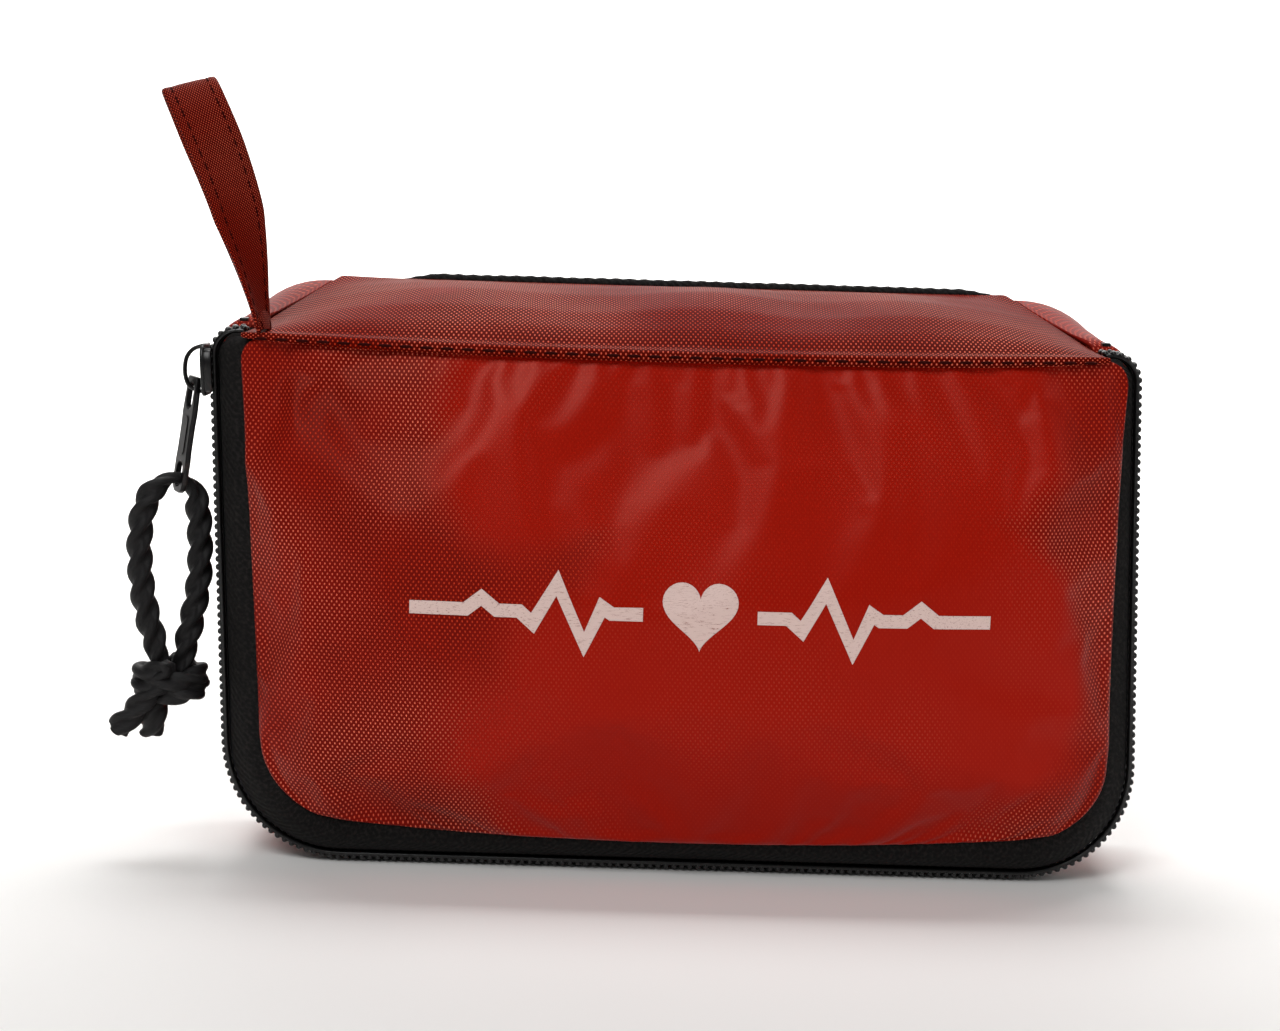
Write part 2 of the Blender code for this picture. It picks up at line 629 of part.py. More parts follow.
def make_contents():
    """What the kit carries: the packets and rolls behind the back net, and the flat things in front."""
    rear = BACK_Y / MM - 1.4
    packet("foil_blanket", (-39, rear - 8.0, 3), (20, rear, 86), (0.6, 0.5, 0.2), 0.25)
    packet("triangular_bandage", (-38, rear - 14.0, 3), (19, rear - 8.4, 80), WHITE)
    for k in range(3):
        y = 0.7 + 1.5 * k
        packet(f"gauze_pack_{k + 1}", (-36, y, 2.5), (18, y + 1.2, 76 + k), WHITE, 0.6, 0.3 * MM)
    packet("wound_dressing", (23.5, rear - 7.8, 14), (82, rear, 84), WHITE)
    packet("glove_pack", (23.5, rear - 12.6, 14), (80, rear - 8.2, 80), (0.1, 0.3, 0.55))
    packet("plaster_pack", (24, 0.7, 13), (79, rear - 13.0, 78), (0.7, 0.45, 0.3))
    middle = 10.0 * MM
    roll = [(ROLL_RADIUS - 0.6 * MM, 0.0), (ROLL_RADIUS, 0.6 * MM)]
    for k, (x, low, length) in enumerate(((-73.5, 14.0, 42.0), (-53.0, 5.0, 52.0))):
        top = length * MM
        profile = [(0.0, 0.0)] + roll + [(r, top - h) for r, h in reversed(roll)] + [(0.0, top)]
        place = leaned(x * MM, middle, low * MM)
        turned(f"bandage_roll_{k + 1}", profile, (WHITE, 0.9), Matrix.Translation(place))
    place = leaned(-64.5 * MM, middle, 79.0 * MM)
    lying = Matrix.Translation(place) @ Matrix.Rotation(math.radians(90), 4, "X")
    half = TAPE_ROLL_WIDTH / 2
    card = 1.2 * MM
    turned("tape_core", [(TAPE_CORE_RADIUS - card, -half), (TAPE_CORE_RADIUS, -half), (TAPE_CORE_RADIUS, half),
                         (TAPE_CORE_RADIUS - card, half)], ((0.5, 0.4, 0.3), 0.9), lying)
    inner = TAPE_CORE_RADIUS + GAP
    turned("tape_roll", [(inner, -half), (TAPE_ROLL_RADIUS, -half), (TAPE_ROLL_RADIUS, half), (inner, half)],
           (WHITE, 0.7), lying)
    make_front_contents()
    make_scissors()
    make_tweezers()


def make_front_contents():
    """The leaflet, three wipe sachets and two safety pins in the front net pocket."""
    back = FRONT_POCKET_Y / MM - 1.0
    packet("leaflet", (-36, back - 1.4, 14), (32, back, 66), WHITE, 0.6, 0.2 * MM)
    for k in range(3):
        x = -58.0 + 37.0 * k
        y = back - 3.4
        packet(f"wipe_sachet_{k + 1}", (x, y, 22), (x + 34, y + 1.5, 68), (0.75, 0.78, 0.8), 0.35, 0.3 * MM)
    for k in range(2):
        wire = 0.45 * MM
        x = 54.0 + 8.0 * k
        bow = 2.6
        arc = [(x + bow * math.cos(a), back - 0.9, 24.0 + bow * math.sin(a))
               for a in (math.pi * (1 + j / 6) for j in range(7))]
        route = [Vector(p) * MM for p in [(x - bow, back - 0.9, 50.0)] + arc + [(x + bow, back - 0.9, 46.0)]]
        route = [leaned(*p) for p in route]
        cord_tube(f"safety_pin_{k + 1}", route, [wire] * len(route), (STEEL, 0.25, 1.0))


def ring_plate(name, centre, outer, inner, y, thick, finish):
    """A flat finger ring facing front."""
    profile = [(inner, 0.0), (outer, 0.0), (outer, thick), (inner, thick)]
    lying = Matrix.Translation((centre[0], y, centre[1])) @ Matrix.Rotation(math.radians(-90), 4, "X")
    return turned(name, profile, finish, lying, steps=24)


def plate(name, outline, y, thick, finish):
    """A flat plate facing front, from its (x, z) outline."""
    count = len(outline)
    verts = [(x, depth, z) for depth in (y, y + thick) for x, z in outline]
    faces = [tuple(range(count)), tuple(range(count, 2 * count))]
    faces += [(k, (k + 1) % count, count + (k + 1) % count, count + k) for k in range(count)]
    return solid(name, verts, faces, finish, smooth=False)


SCISSORS_PIVOT = (Vector((33.0, 0.0, 50.0)) * MM)


def make_scissors():
    """Bandage scissors: two halves on one rivet, each a blade, a shank and a finger ring."""
    finish = (STEEL, 0.25, 1.0)
    pivot = SCISSORS_PIVOT
    blade = [(-0.6, -38.0), (0.9, -38.6), (2.2, -36.0), (4.2, -8.0), (4.4, 2.0), (0.5, 12.0), (-4.6, 25.0),
             (-6.8, 24.2), (-4.4, 10.0), (-3.4, 0.0), (-2.6, -8.0)]
    ring_centre = (-10.6, 32.4)
    for name, side in (("scissors_fixed_half", -1.0), ("scissors_moving_half", 1.0)):
        y = SCISSORS_Y + (BLADE_THICK / 2 + GAP / 2) * -side - BLADE_THICK / 2
        outline = [(pivot.x + side * x * MM, pivot.z + z * MM) for x, z in blade]
        half = plate(name, outline, y, BLADE_THICK, finish)
        centre = (pivot.x + side * ring_centre[0] * MM, pivot.z + ring_centre[1] * MM)
        sunk = 0.02 * MM
        ring = ring_plate(name + "_ring", centre, 9.6 * MM, 6.6 * MM, y + sunk, BLADE_THICK - 2 * sunk, finish)
        hole = cutter_rod(name + "_hole", pivot, RIVET_RADIUS + 0.15 * MM, y)
        for tool, way in ((ring, "UNION"), (hole, "DIFFERENCE")):
            tool.hide_render = True
            tool.display_type = "WIRE"
            step = half.modifiers.new(tool.name, "BOOLEAN")
            step.operation = way
            step.object = tool
    head = 0.55 * MM
    body = BLADE_THICK + GAP / 2 + 0.2 * MM
    wide = RIVET_RADIUS + 1.0 * MM
    profile = [(0.0, -body - head), (wide, -body - head), (wide, -body), (RIVET_RADIUS, -body),
               (RIVET_RADIUS, body), (wide, body), (wide, body + head), (0.0, body + head)]
    lying = Matrix.Translation((pivot.x, SCISSORS_Y, pivot.z)) @ Matrix.Rotation(math.radians(-90), 4, "X")
    turned("scissors_rivet", profile, finish, lying, steps=20)


def cutter_rod(name, pivot, radius, y):
    """A rod through a blade, which cuts its pivot hole."""
    reach = 2.0 * BLADE_THICK
    profile = [(0.0, -reach), (radius, -reach), (radius, reach), (0.0, reach)]
    lying = Matrix.Translation((pivot.x, y, pivot.z)) @ Matrix.Rotation(math.radians(-90), 4, "X")
    return turned(name, profile, (STEEL, 0.3, 1.0), lying, steps=20)


TWEEZERS_HEAD = Vector((-22.0, 0.0, 88.0)) * MM


def make_tweezers():
    """Tweezers: two sprung legs that meet at the head."""
    head = TWEEZERS_HEAD
    thick = 1.0
    wide = 3.6 * MM
    y = SCISSORS_Y - wide / 2
    length = TWEEZERS_LENGTH / MM
    spread = [(0.15, 0.0), (0.15, 8.0), (3.4, 26.0), (4.2, 44.0), (3.6, 60.0), (2.4, length)]
    outline = [(x, -down) for x, down in spread] + [(x + thick, -down) for x, down in reversed(spread)]
    for name, side in (("tweezers_fixed_leg", -1.0), ("tweezers_moving_leg", 1.0)):
        points = [(head.x + side * x * MM, head.z + z * MM) for x, z in outline]
        plate(name, points, y, wide, (STEEL, 0.25, 1.0))


def make_zip_stops():
    """The small stops on the back half's coil, at the two ends of the zip."""
    tall = 0.7 * MM
    low_z = SIDE_HEIGHT + GAP
    long = 1.6 * MM
    clear = 0.1 * MM
    for name, x in (("zip_stop_left", -ZIP_END - clear - long), ("zip_stop_right", ZIP_END + clear)):
        low = (x, CHAIN_Y + SLIT, low_z)
        high = (x + long, CHAIN_Y + CHAIN_HALF, low_z + tall)
        box(name, low, high, (BLACK, 0.3, 0.6), bevel=0.15 * MM)


for old in list(bpy.data.objects):
    bpy.data.objects.remove(old, do_unlink=True)
make_zip_sides()
make_panels()
make_gusset()
make_binding()
make_zip_stops()
make_slider()
make_pull()
make_cord()
make_hang_loop()
make_pockets()
make_contents()
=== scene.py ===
import json
import math

import bmesh
import bpy
import numpy as np
from mathutils import Matrix, Vector, noise
from mathutils.bvhtree import BVHTree


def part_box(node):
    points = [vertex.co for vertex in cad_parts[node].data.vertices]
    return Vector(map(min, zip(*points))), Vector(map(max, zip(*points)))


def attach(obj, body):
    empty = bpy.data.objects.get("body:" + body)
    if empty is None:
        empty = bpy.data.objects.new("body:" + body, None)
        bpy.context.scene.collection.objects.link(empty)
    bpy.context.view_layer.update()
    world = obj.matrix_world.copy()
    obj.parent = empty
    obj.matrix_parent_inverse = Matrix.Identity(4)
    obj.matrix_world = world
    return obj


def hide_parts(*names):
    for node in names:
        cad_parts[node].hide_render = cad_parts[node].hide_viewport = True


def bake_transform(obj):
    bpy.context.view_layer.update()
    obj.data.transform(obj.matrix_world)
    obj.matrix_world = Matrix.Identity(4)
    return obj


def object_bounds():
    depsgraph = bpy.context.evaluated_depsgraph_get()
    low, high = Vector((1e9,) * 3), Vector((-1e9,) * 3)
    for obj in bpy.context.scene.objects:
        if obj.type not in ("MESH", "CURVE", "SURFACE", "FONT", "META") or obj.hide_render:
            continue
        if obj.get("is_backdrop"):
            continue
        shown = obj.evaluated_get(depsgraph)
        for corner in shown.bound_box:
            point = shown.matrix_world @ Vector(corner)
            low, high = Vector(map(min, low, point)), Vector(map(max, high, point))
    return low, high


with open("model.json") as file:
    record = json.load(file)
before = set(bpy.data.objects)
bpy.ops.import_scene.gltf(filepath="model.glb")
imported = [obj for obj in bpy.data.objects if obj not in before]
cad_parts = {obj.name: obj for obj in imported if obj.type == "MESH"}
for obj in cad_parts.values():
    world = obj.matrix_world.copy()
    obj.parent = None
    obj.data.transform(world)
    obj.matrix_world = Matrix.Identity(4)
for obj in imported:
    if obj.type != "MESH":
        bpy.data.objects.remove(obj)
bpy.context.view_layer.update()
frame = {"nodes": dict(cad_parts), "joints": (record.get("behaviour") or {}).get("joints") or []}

MM = 0.001


# ---- The studio -------------------------------------------------------------------------------------------
# A pale table with a backdrop that sweeps up behind it, a large soft light over the camera and two fills.
# The camera stands a little above the bag's middle, as someone looks at it on a table.

def linear(code):
    """An sRGB hex colour as the linear values that the shaders take."""
    channels = [int(code[i:i + 2], 16) / 255 for i in (0, 2, 4)]
    return (*[c / 12.92 if c <= 0.04045 else ((c + 0.055) / 1.055) ** 2.4 for c in channels], 1.0)


def add(tree, kind, inputs=None, **settings):
    """Adds a node with its settings; each input takes a value, or is linked to another node's socket."""
    made = tree.nodes.new(kind)
    for name, value in settings.items():
        setattr(made, name, value)
    for name, value in (inputs or {}).items():
        if isinstance(value, bpy.types.NodeSocket):
            tree.links.new(value, made.inputs[name])
        else:
            made.inputs[name].default_value = value
    return made


def new_material(name):
    """An empty node material with its Principled shader."""
    mat = bpy.data.materials.new(name)
    mat.use_nodes = True
    return mat, mat.node_tree, mat.node_tree.nodes["Principled BSDF"]


def mesh_piece(name, verts, faces, mat, uvs=None, smooth=True):
    """A mesh piece; uvs gives each vertex its place on the material in metres."""
    mesh = bpy.data.meshes.new(name)
    mesh.from_pydata([tuple(v) for v in verts], [], faces)
    if uvs is not None:
        layer = mesh.uv_layers.new(name="lay")
        for loop in mesh.loops:
            layer.data[loop.index].uv = uvs[loop.vertex_index]
    mesh.polygons.foreach_set("use_smooth", [smooth] * len(mesh.polygons))
    mesh.materials.append(mat)
    obj = bpy.data.objects.new(name, mesh)
    bpy.context.scene.collection.objects.link(obj)
    return obj


def faces_out(obj):
    """Turns a closed mesh's faces outwards."""
    bm = bmesh.new()
    bm.from_mesh(obj.data)
    bmesh.ops.recalc_face_normals(bm, faces=bm.faces)
    bm.to_mesh(obj.data)
    bm.free()
    return obj


paper_sweep, tree, shader = new_material("pale_backdrop_paper")
shader.inputs["Base Color"].default_value = linear("F4F3F1")
shader.inputs["Roughness"].default_value = 0.9
half_floor = 1.6
bend = 0.35
profile = [(-1.3, 0.0), (0.55, 0.0)]
profile += [(0.55 + bend * math.sin(a), bend * (1 - math.cos(a))) for a in np.linspace(0.1, math.pi / 2, 12)]
profile += [(0.55 + bend, 1.8)]
sweep_verts = [(x, y, z - 0.0004) for y, z in profile for x in (-half_floor, half_floor)]
sweep_faces = [(2 * i, 2 * i + 1, 2 * i + 3, 2 * i + 2) for i in range(len(profile) - 1)]
mesh_piece("backdrop", sweep_verts, sweep_faces, paper_sweep)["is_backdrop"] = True

world = bpy.data.worlds.new("soft_room")
bpy.context.scene.world = world
world.use_nodes = True
world.node_tree.nodes["Background"].inputs["Color"].default_value = (1.0, 1.0, 1.0, 1.0)
world.node_tree.nodes["Background"].inputs["Strength"].default_value = 0.1
bpy.context.scene.view_settings.view_transform = "Standard"


def soft_light(name, place, aim, size, power, spread=180):
    """A square soft box at a place, turned to what it lights."""
    lamp = bpy.data.lights.new(name, "AREA")
    lamp.shape = "SQUARE"
    lamp.size = size
    lamp.energy = power
    lamp.spread = math.radians(spread)
    obj = bpy.data.objects.new(name, lamp)
    obj.location = place
    obj.rotation_mode = "QUATERNION"
    obj.rotation_quaternion = (Vector(aim) - Vector(place)).to_track_quat("-Z", "Y")
    bpy.context.scene.collection.objects.link(obj)


soft_light("key_box", (-0.3, -0.75, 0.8), (0.0, 0.0, 0.05), 0.45, 5.5)
soft_light("fill_box", (0.75, -0.6, 0.4), (0.0, 0.0, 0.06), 0.5, 1.4)
soft_light("backdrop_box", (0.0, 0.45, 1.2), (0.0, 0.9, 0.25), 0.8, 14.0, 110)

CAMERA_DISTANCE = 450 * MM
CAMERA_RISE = math.radians(7.5)
CAMERA_ROLL = math.radians(1.7)
AIM = Vector((-7.7, -6.0, 69.6)) * MM
camera = bpy.data.cameras.new("camera")
camera.sensor_width = 36.0
camera.lens = 65.4
camera.clip_start = 0.02
camera_object = bpy.data.objects.new("camera", camera)
bpy.context.scene.collection.objects.link(camera_object)
look = Vector((0.0, math.cos(CAMERA_RISE), -math.sin(CAMERA_RISE)))
camera_object.location = AIM - look * CAMERA_DISTANCE
camera_object.rotation_mode = "QUATERNION"
level = look.to_track_quat("-Z", "Y")
camera_object.rotation_quaternion = Matrix.Rotation(-CAMERA_ROLL, 3, look).to_quaternion() @ level
bpy.context.scene.camera = camera_object


# ---- The pull cord ----------------------------------------------------------------------------------------
# A black three-strand twisted cord of soft polypropylene, looped through the pull's lower slot. Both ends are
# tied together in one overhand knot, and cut off short below it, so that the loop hangs by its own weight.

CORD_DIAMETER = 5.2 * MM
STRAND_TURN = 15.5 * MM            # length in which a strand goes once round
LOOP_ROUTE = [(-101.1, -6.9, 41.2), (-102.4, -7.4, 46.0), (-103.5, -8.0, 52.0), (-104.0, -8.4, 58.0),
              (-103.9, -8.7, 64.0), (-102.8, -8.8, 69.4), (-100.2, -8.2, 73.2), (-96.7, -6.2, 74.3),
              (-94.2, -4.4, 71.6), (-93.5, -3.9, 66.5), (-93.2, -4.0, 60.5), (-93.3, -4.4, 54.5),
              (-94.2, -5.1, 48.0), (-95.5, -6.0, 41.2)]
KNOT = (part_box("cord_knot")[0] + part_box("cord_knot")[1]) / 2


def smooth_route(points, steps):
    """Points of one smooth curve through the route's own points."""
    rows = [Vector(p) for p in points]
    rows = [2 * rows[0] - rows[1]] + rows + [2 * rows[-1] - rows[-2]]
    route = []
    for i in range(1, len(rows) - 2):
        a, b, c, d = rows[i - 1], rows[i], rows[i + 1], rows[i + 2]
        for k in range(steps):
            t = k / steps
            route.append(0.5 * (2 * b + (c - a) * t + (2 * a - 5 * b + 4 * c - d) * t * t
                                + (3 * b - a - 3 * c + d) * t * t * t))
    route.append(rows[-2])
    return route


def evenly(route, spacing):
    """The same route with its points a fixed distance apart."""
    gone = [0.0]
    for a, b in zip(route, route[1:]):
        gone.append(gone[-1] + (b - a).length)
    count = max(2, round(gone[-1] / spacing))
    marks = np.linspace(0.0, gone[-1], count + 1)
    axes = [np.interp(marks, gone, [p[k] for p in route]) for k in range(3)]
    return [Vector(p) for p in zip(*axes)]


def carried_frames(route):
    """A direction square to the route at each point, carried along it without twist."""
    side = Vector((0.0, 1.0, 0.0))
    frames = []
    for i in range(len(route)):
        ahead = (route[min(i + 1, len(route) - 1)] - route[max(i - 1, 0)]).normalized()
        side = (side - ahead * side.dot(ahead)).normalized()
        frames.append((ahead, side, ahead.cross(side)))
    return frames


def twisted_cord(name, route, radii, strands, turn, sides, mat):
    """A rope of round strands laid round each other; its U runs round the rope and its V along it."""
    frames = carried_frames(route)
    share = 1.0 / (1.0 + 1.0 / math.sin(math.pi / strands))
    verts, uvs, faces = [], [], []
    gone = 0.0
    for i, (place, (ahead, side, up)) in enumerate(zip(route, frames)):
        gone += (place - route[i - 1]).length if i else 0.0
        lay = 2 * math.pi * gone / turn
        for k in range(sides):
            angle = 2 * math.pi * k / sides
            nearest = (angle - lay) % (2 * math.pi / strands) - math.pi / strands
            centre = 1.0 - share
            reach = centre * math.cos(nearest) + math.sqrt(max(0.0, share ** 2 - (centre * math.sin(nearest)) ** 2))
            reach = max(reach, 0.62)
            out = side * math.cos(angle) + up * math.sin(angle)
            verts.append(place + out * reach * radii[i])
            uvs.append(((angle - lay) / (2 * math.pi), gone))
    for i in range(len(route) - 1):
        for k in range(sides):
            a = i * sides + k
            b = i * sides + (k + 1) % sides
            faces.append((a, b, b + sides, a + sides))
    faces.append(tuple(range(sides)))
    faces.append(tuple(range((len(route) - 1) * sides, len(route) * sides)))
    return faces_out(mesh_piece(name, verts, faces, mat, uvs))


def knot_strand(start, end, phase, turns):
    """A strand's way through the knot: down through the middle, round the outside, and out below."""
    points = []
    core = Vector(start)
    for k in range(4):
        sink = k / 3
        points.append(core.lerp(KNOT + Vector((1.6 * math.cos(phase), 1.2 * math.sin(phase), -1.0)) * MM, sink))
    for k in range(1, int(turns * 10)):
        angle = phase + 2 * math.pi * k / 10
        grow = min(1.0, k / 3)
        lift = (-3.4 + 6.4 * k / (turns * 10)) * MM
        reach = Vector((5.6 * math.cos(angle), 4.2 * math.sin(angle), 0.0)) * MM * grow
        points.append(KNOT + reach + Vector((0.0, 0.0, lift)))
    points.append(KNOT.lerp(Vector(end), 0.62) + Vector((0.0, -1.5 * MM, 0.5 * MM)))
    points.append(Vector(end))
    return points


cord_fibre, tree, shader = new_material("twisted_polypropylene_cord")
# Spun-dyed black fibre: a soft, slightly greasy sheen on each strand and deep black between them
lay = add(tree, "ShaderNodeUVMap", uv_map="lay")
stretch = add(tree, "ShaderNodeMapping", {"Vector": lay.outputs["UV"], "Scale": (70.0, 900.0, 1.0)})
fibres = add(tree, "ShaderNodeTexNoise", {"Vector": stretch.outputs["Vector"], "Scale": 1.0, "Detail": 3.0})
lint = add(tree, "ShaderNodeTexNoise", {"Scale": 2200.0, "Detail": 2.0})
shade = add(tree, "ShaderNodeValToRGB", {"Fac": fibres.outputs["Fac"]})
shade.color_ramp.elements[0].position = 0.35
shade.color_ramp.elements[0].color = linear("060506")
shade.color_ramp.elements[1].position = 0.75
shade.color_ramp.elements[1].color = linear("1B191A")
tree.links.new(shade.outputs["Color"], shader.inputs["Base Color"])
rough = add(tree, "ShaderNodeMapRange", {"Value": lint.outputs["Fac"], "To Min": 0.42, "To Max": 0.75})
tree.links.new(rough.outputs["Result"], shader.inputs["Roughness"])
relief = add(tree, "ShaderNodeBump", {"Height": fibres.outputs["Fac"], "Strength": 0.6, "Distance": 0.0003})
tree.links.new(relief.outputs["Normal"], shader.inputs["Normal"])
shader.inputs["Specular IOR Level"].default_value = 0.3

loop_points = [Vector(p) * MM for p in LOOP_ROUTE]
tail_left = (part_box("cord_tail_1")[0] + Vector((2.4, 2.4, 2.2)) * MM)
tail_right = (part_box("cord_tail_2")[0] + Vector((2.6, 2.6, 2.2)) * MM)
down_left = knot_strand(loop_points[0], tail_left, math.radians(200), 1.3)
down_right = knot_strand(loop_points[-1], tail_right, math.radians(20), 1.3)
cord_points = list(reversed(down_left))[:-1] + loop_points + down_right[1:]
cord_route = evenly(smooth_route(cord_points, 8), 0.45 * MM)
slot_place = Vector(next(j for j in frame["joints"] if j["name"] == "cord_swing")["pos_m"])
cord_radii = []
for place in cord_route:
    pinch = min(1.0, max(0.0, ((place - slot_place).length - 1.6 * MM) / (5.0 * MM)))
    tied = min(1.0, max(0.0, ((place - KNOT).length - 5.0 * MM) / (4.0 * MM)))
    cord_radii.append(CORD_DIAMETER / 2 * (0.46 + 0.54 * pinch) * (0.84 + 0.16 * tied))
cord = twisted_cord("pull_cord_twisted", cord_route, cord_radii, 3, STRAND_TURN, 24, cord_fibre)
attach(cord, "cord")
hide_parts("pull_cord", "cord_knot", "cord_tail_1", "cord_tail_2")


# ---- The front panel --------------------------------------------------------------------------------------
# One piece of red 420-denier oxford nylon, cut with rounded lower corners and sewn to the zip's tape down its
# sides and along the bottom, and to the top gusset under a folded lip. The full bag swells it, the seams hold
# its edges back, and the cloth is given a little slack. A clear film covers its face in patches.

LEAN = 0.0375                       # the soft bag leans to the left, per unit of height
MID_HEIGHT = 52.25 * MM
PANEL_HALF = 82.2 * MM
PANEL_TOP = 102.9 * MM
PANEL_LOW = 6.0 * MM
PANEL_EDGE_Y = -15.1 * MM
PANEL_SWELL = 8.2 * MM
LIP_SAG = 1.2 * MM                  # the seam along the top hangs this much lower in its middle


def leaned(x, y, z):
    """A point of the upright bag, moved over by the bag's lean."""
    return Vector((x + LEAN * (MID_HEIGHT - z), y, z))


def oxford(name, deep, lit, film_share, scale=1.0, spots=(), shine=0.22):
    """Coated oxford cloth: staggered raised yarn dots on a darker ground, the dots coloured lighter as painted
    highlight, smooth where film lies on it.
    """
    mat, tree, shader = new_material(name)
    lay = add(tree, "ShaderNodeUVMap", uv_map="lay")
    parts = add(tree, "ShaderNodeSeparateXYZ", {"Vector": lay.outputs["UV"]})
    waver = add(tree, "ShaderNodeTexNoise", {"Vector": lay.outputs["UV"], "Scale": 90.0, "Detail": 1.0})
    drift = add(tree, "ShaderNodeMath", {0: waver.outputs["Fac"], 1: 0.0011}, operation="MULTIPLY")
    waves = []
    for axis, pitch in (("X", 0.93 * MM * scale), ("Y", 0.63 * MM * scale)):
        along = add(tree, "ShaderNodeMath", {0: parts.outputs[axis], 1: drift.outputs[0]}, operation="ADD")
        turns = add(tree, "ShaderNodeMath", {0: along.outputs[0], 1: 2 * math.pi / pitch}, operation="MULTIPLY")
        waves.append(add(tree, "ShaderNodeMath", {0: turns.outputs[0]}, operation="COSINE"))
    half_turn = add(tree, "ShaderNodeMath", {0: parts.outputs["Y"], 1: math.pi / (0.63 * MM * scale)},
                    operation="MULTIPLY")
    stagger = add(tree, "ShaderNodeMath", {0: half_turn.outputs[0]}, operation="COSINE")
    side = add(tree, "ShaderNodeMath", {0: waves[0].outputs[0], 1: stagger.outputs[0]}, operation="MULTIPLY")
    dots = add(tree, "ShaderNodeMapRange", {"Value": side.outputs[0], "From Min": 0.25, "From Max": 0.9},
               interpolation_type="SMOOTHSTEP")
    patches = add(tree, "ShaderNodeTexNoise", {"Vector": lay.outputs["UV"], "Scale": 17.0, "Detail": 3.0,
                                               "Roughness": 0.5})
    film = add(tree, "ShaderNodeMapRange", {"Value": patches.outputs["Fac"], "From Min": 0.66 - film_share,
                                            "From Max": 0.78 - film_share}, interpolation_type="SMOOTHSTEP")
    for x, z, reach in spots:
        away = add(tree, "ShaderNodeVectorMath", {0: lay.outputs["UV"], 1: (x * MM, z * MM, 0.0)},
                   operation="DISTANCE")
        frayed = add(tree, "ShaderNodeMath", {0: patches.outputs["Fac"], 1: -0.05, 2: away.outputs["Value"]},
                     operation="MULTIPLY_ADD")
        near = add(tree, "ShaderNodeMapRange", {"Value": frayed.outputs[0], "From Min": reach * MM - 0.026,
                                                "From Max": reach * MM - 0.038}, interpolation_type="SMOOTHSTEP")
        film = add(tree, "ShaderNodeMath", {0: film.outputs[0], 1: near.outputs[0]}, operation="MAXIMUM")
    bare = add(tree, "ShaderNodeMapRange", {"Value": film.outputs[0], "To Min": 1.0, "To Max": 0.12})
    shown = add(tree, "ShaderNodeMath", {0: dots.outputs[0], 1: bare.outputs[0]}, operation="MULTIPLY")
    wear = add(tree, "ShaderNodeTexNoise", {"Vector": lay.outputs["UV"], "Scale": 60.0, "Detail": 4.0})
    ground = add(tree, "ShaderNodeMix", {"Factor": wear.outputs["Fac"], "A": linear(deep), "B": linear(lit)},
                 data_type="RGBA")
    ground_filmed = add(tree, "ShaderNodeMix", {"Factor": film.outputs[0], "A": ground.outputs["Result"],
                                                "B": linear("9E1406")}, data_type="RGBA")
    # Painted highlight: the yarn dots take a lighter colour than the ground, and a noise brightens it further in
    # patches as painted glints where light would catch the yarn crowns; only the dots' bump is real relief of the
    # weave.
    glints = add(tree, "ShaderNodeTexNoise", {"Vector": lay.outputs["UV"], "Scale": 26.0, "Detail": 1.0})
    glint = add(tree, "ShaderNodeMapRange", {"Value": glints.outputs["Fac"], "From Min": 0.4, "From Max": 0.62})
    painted_yarn_highlight = add(tree, "ShaderNodeMix", {"Factor": glint.outputs[0], "A": linear("C9361A"), "B": linear("F4785C")},
               data_type="RGBA")
    cloth = add(tree, "ShaderNodeMix", {"Factor": shown.outputs[0], "A": ground_filmed.outputs["Result"],
                                        "B": painted_yarn_highlight.outputs["Result"]}, data_type="RGBA")
    tree.links.new(cloth.outputs["Result"], shader.inputs["Base Color"])
    rough = add(tree, "ShaderNodeMapRange", {"Value": film.outputs[0], "To Min": 0.5, "To Max": 0.33})
    tree.links.new(rough.outputs["Result"], shader.inputs["Roughness"])
    relief = add(tree, "ShaderNodeBump", {"Height": shown.outputs[0], "Strength": 0.7, "Distance": 0.12 * MM})
    cockle = add(tree, "ShaderNodeBump", {"Height": patches.outputs["Fac"], "Strength": 0.15, "Distance": 2.0 * MM,
                                          "Normal": relief.outputs["Normal"]})
    tree.links.new(cockle.outputs["Normal"], shader.inputs["Normal"])
    shader.inputs["Specular IOR Level"].default_value = shine
    shader.inputs["Specular Tint"].default_value = linear("FFA898")
    return mat


# Red nylon with a polyurethane film: yarn dots coloured bright as painted highlight over the darker ground between
# them, and glossy patches where film fills them
red_oxford = oxford("red_coated_oxford_nylon", "580500", "8C0B02", 0.0)
front_oxford = oxford("front_coated_oxford_nylon", "580500", "8C0B02", 0.0,
                      spots=((26, 46, 58), (4, 30, 48), (14, 92, 40), (52, 92, 36), (-20, 92, 36)))
# Painted shade: the gusset's copy of the same cloth takes darker colours and less shine than the front's, so that its
# upward face, which catches more of the light from above, looks no brighter than the front.
gusset_oxford_painted_darker = oxford("gusset_coated_oxford_nylon_painted_darker", "400300", "640701", 0.02, shine=0.04)


def panel_half_width(z):
    """Half the front panel's width at a height, less in its rounded corners."""
    half = PANEL_HALF
    low, radius_low = PANEL_LOW, 17.0 * MM
    high, radius_high = PANEL_TOP, 5.0 * MM
    if z < low + radius_low:
        drop = low + radius_low - z
        half -= radius_low - math.sqrt(max(0.0, radius_low ** 2 - drop ** 2))
    if z > high - radius_high:
        rise = z - (high - radius_high)
        half -= radius_high - math.sqrt(max(0.0, radius_high ** 2 - rise ** 2))
    return half


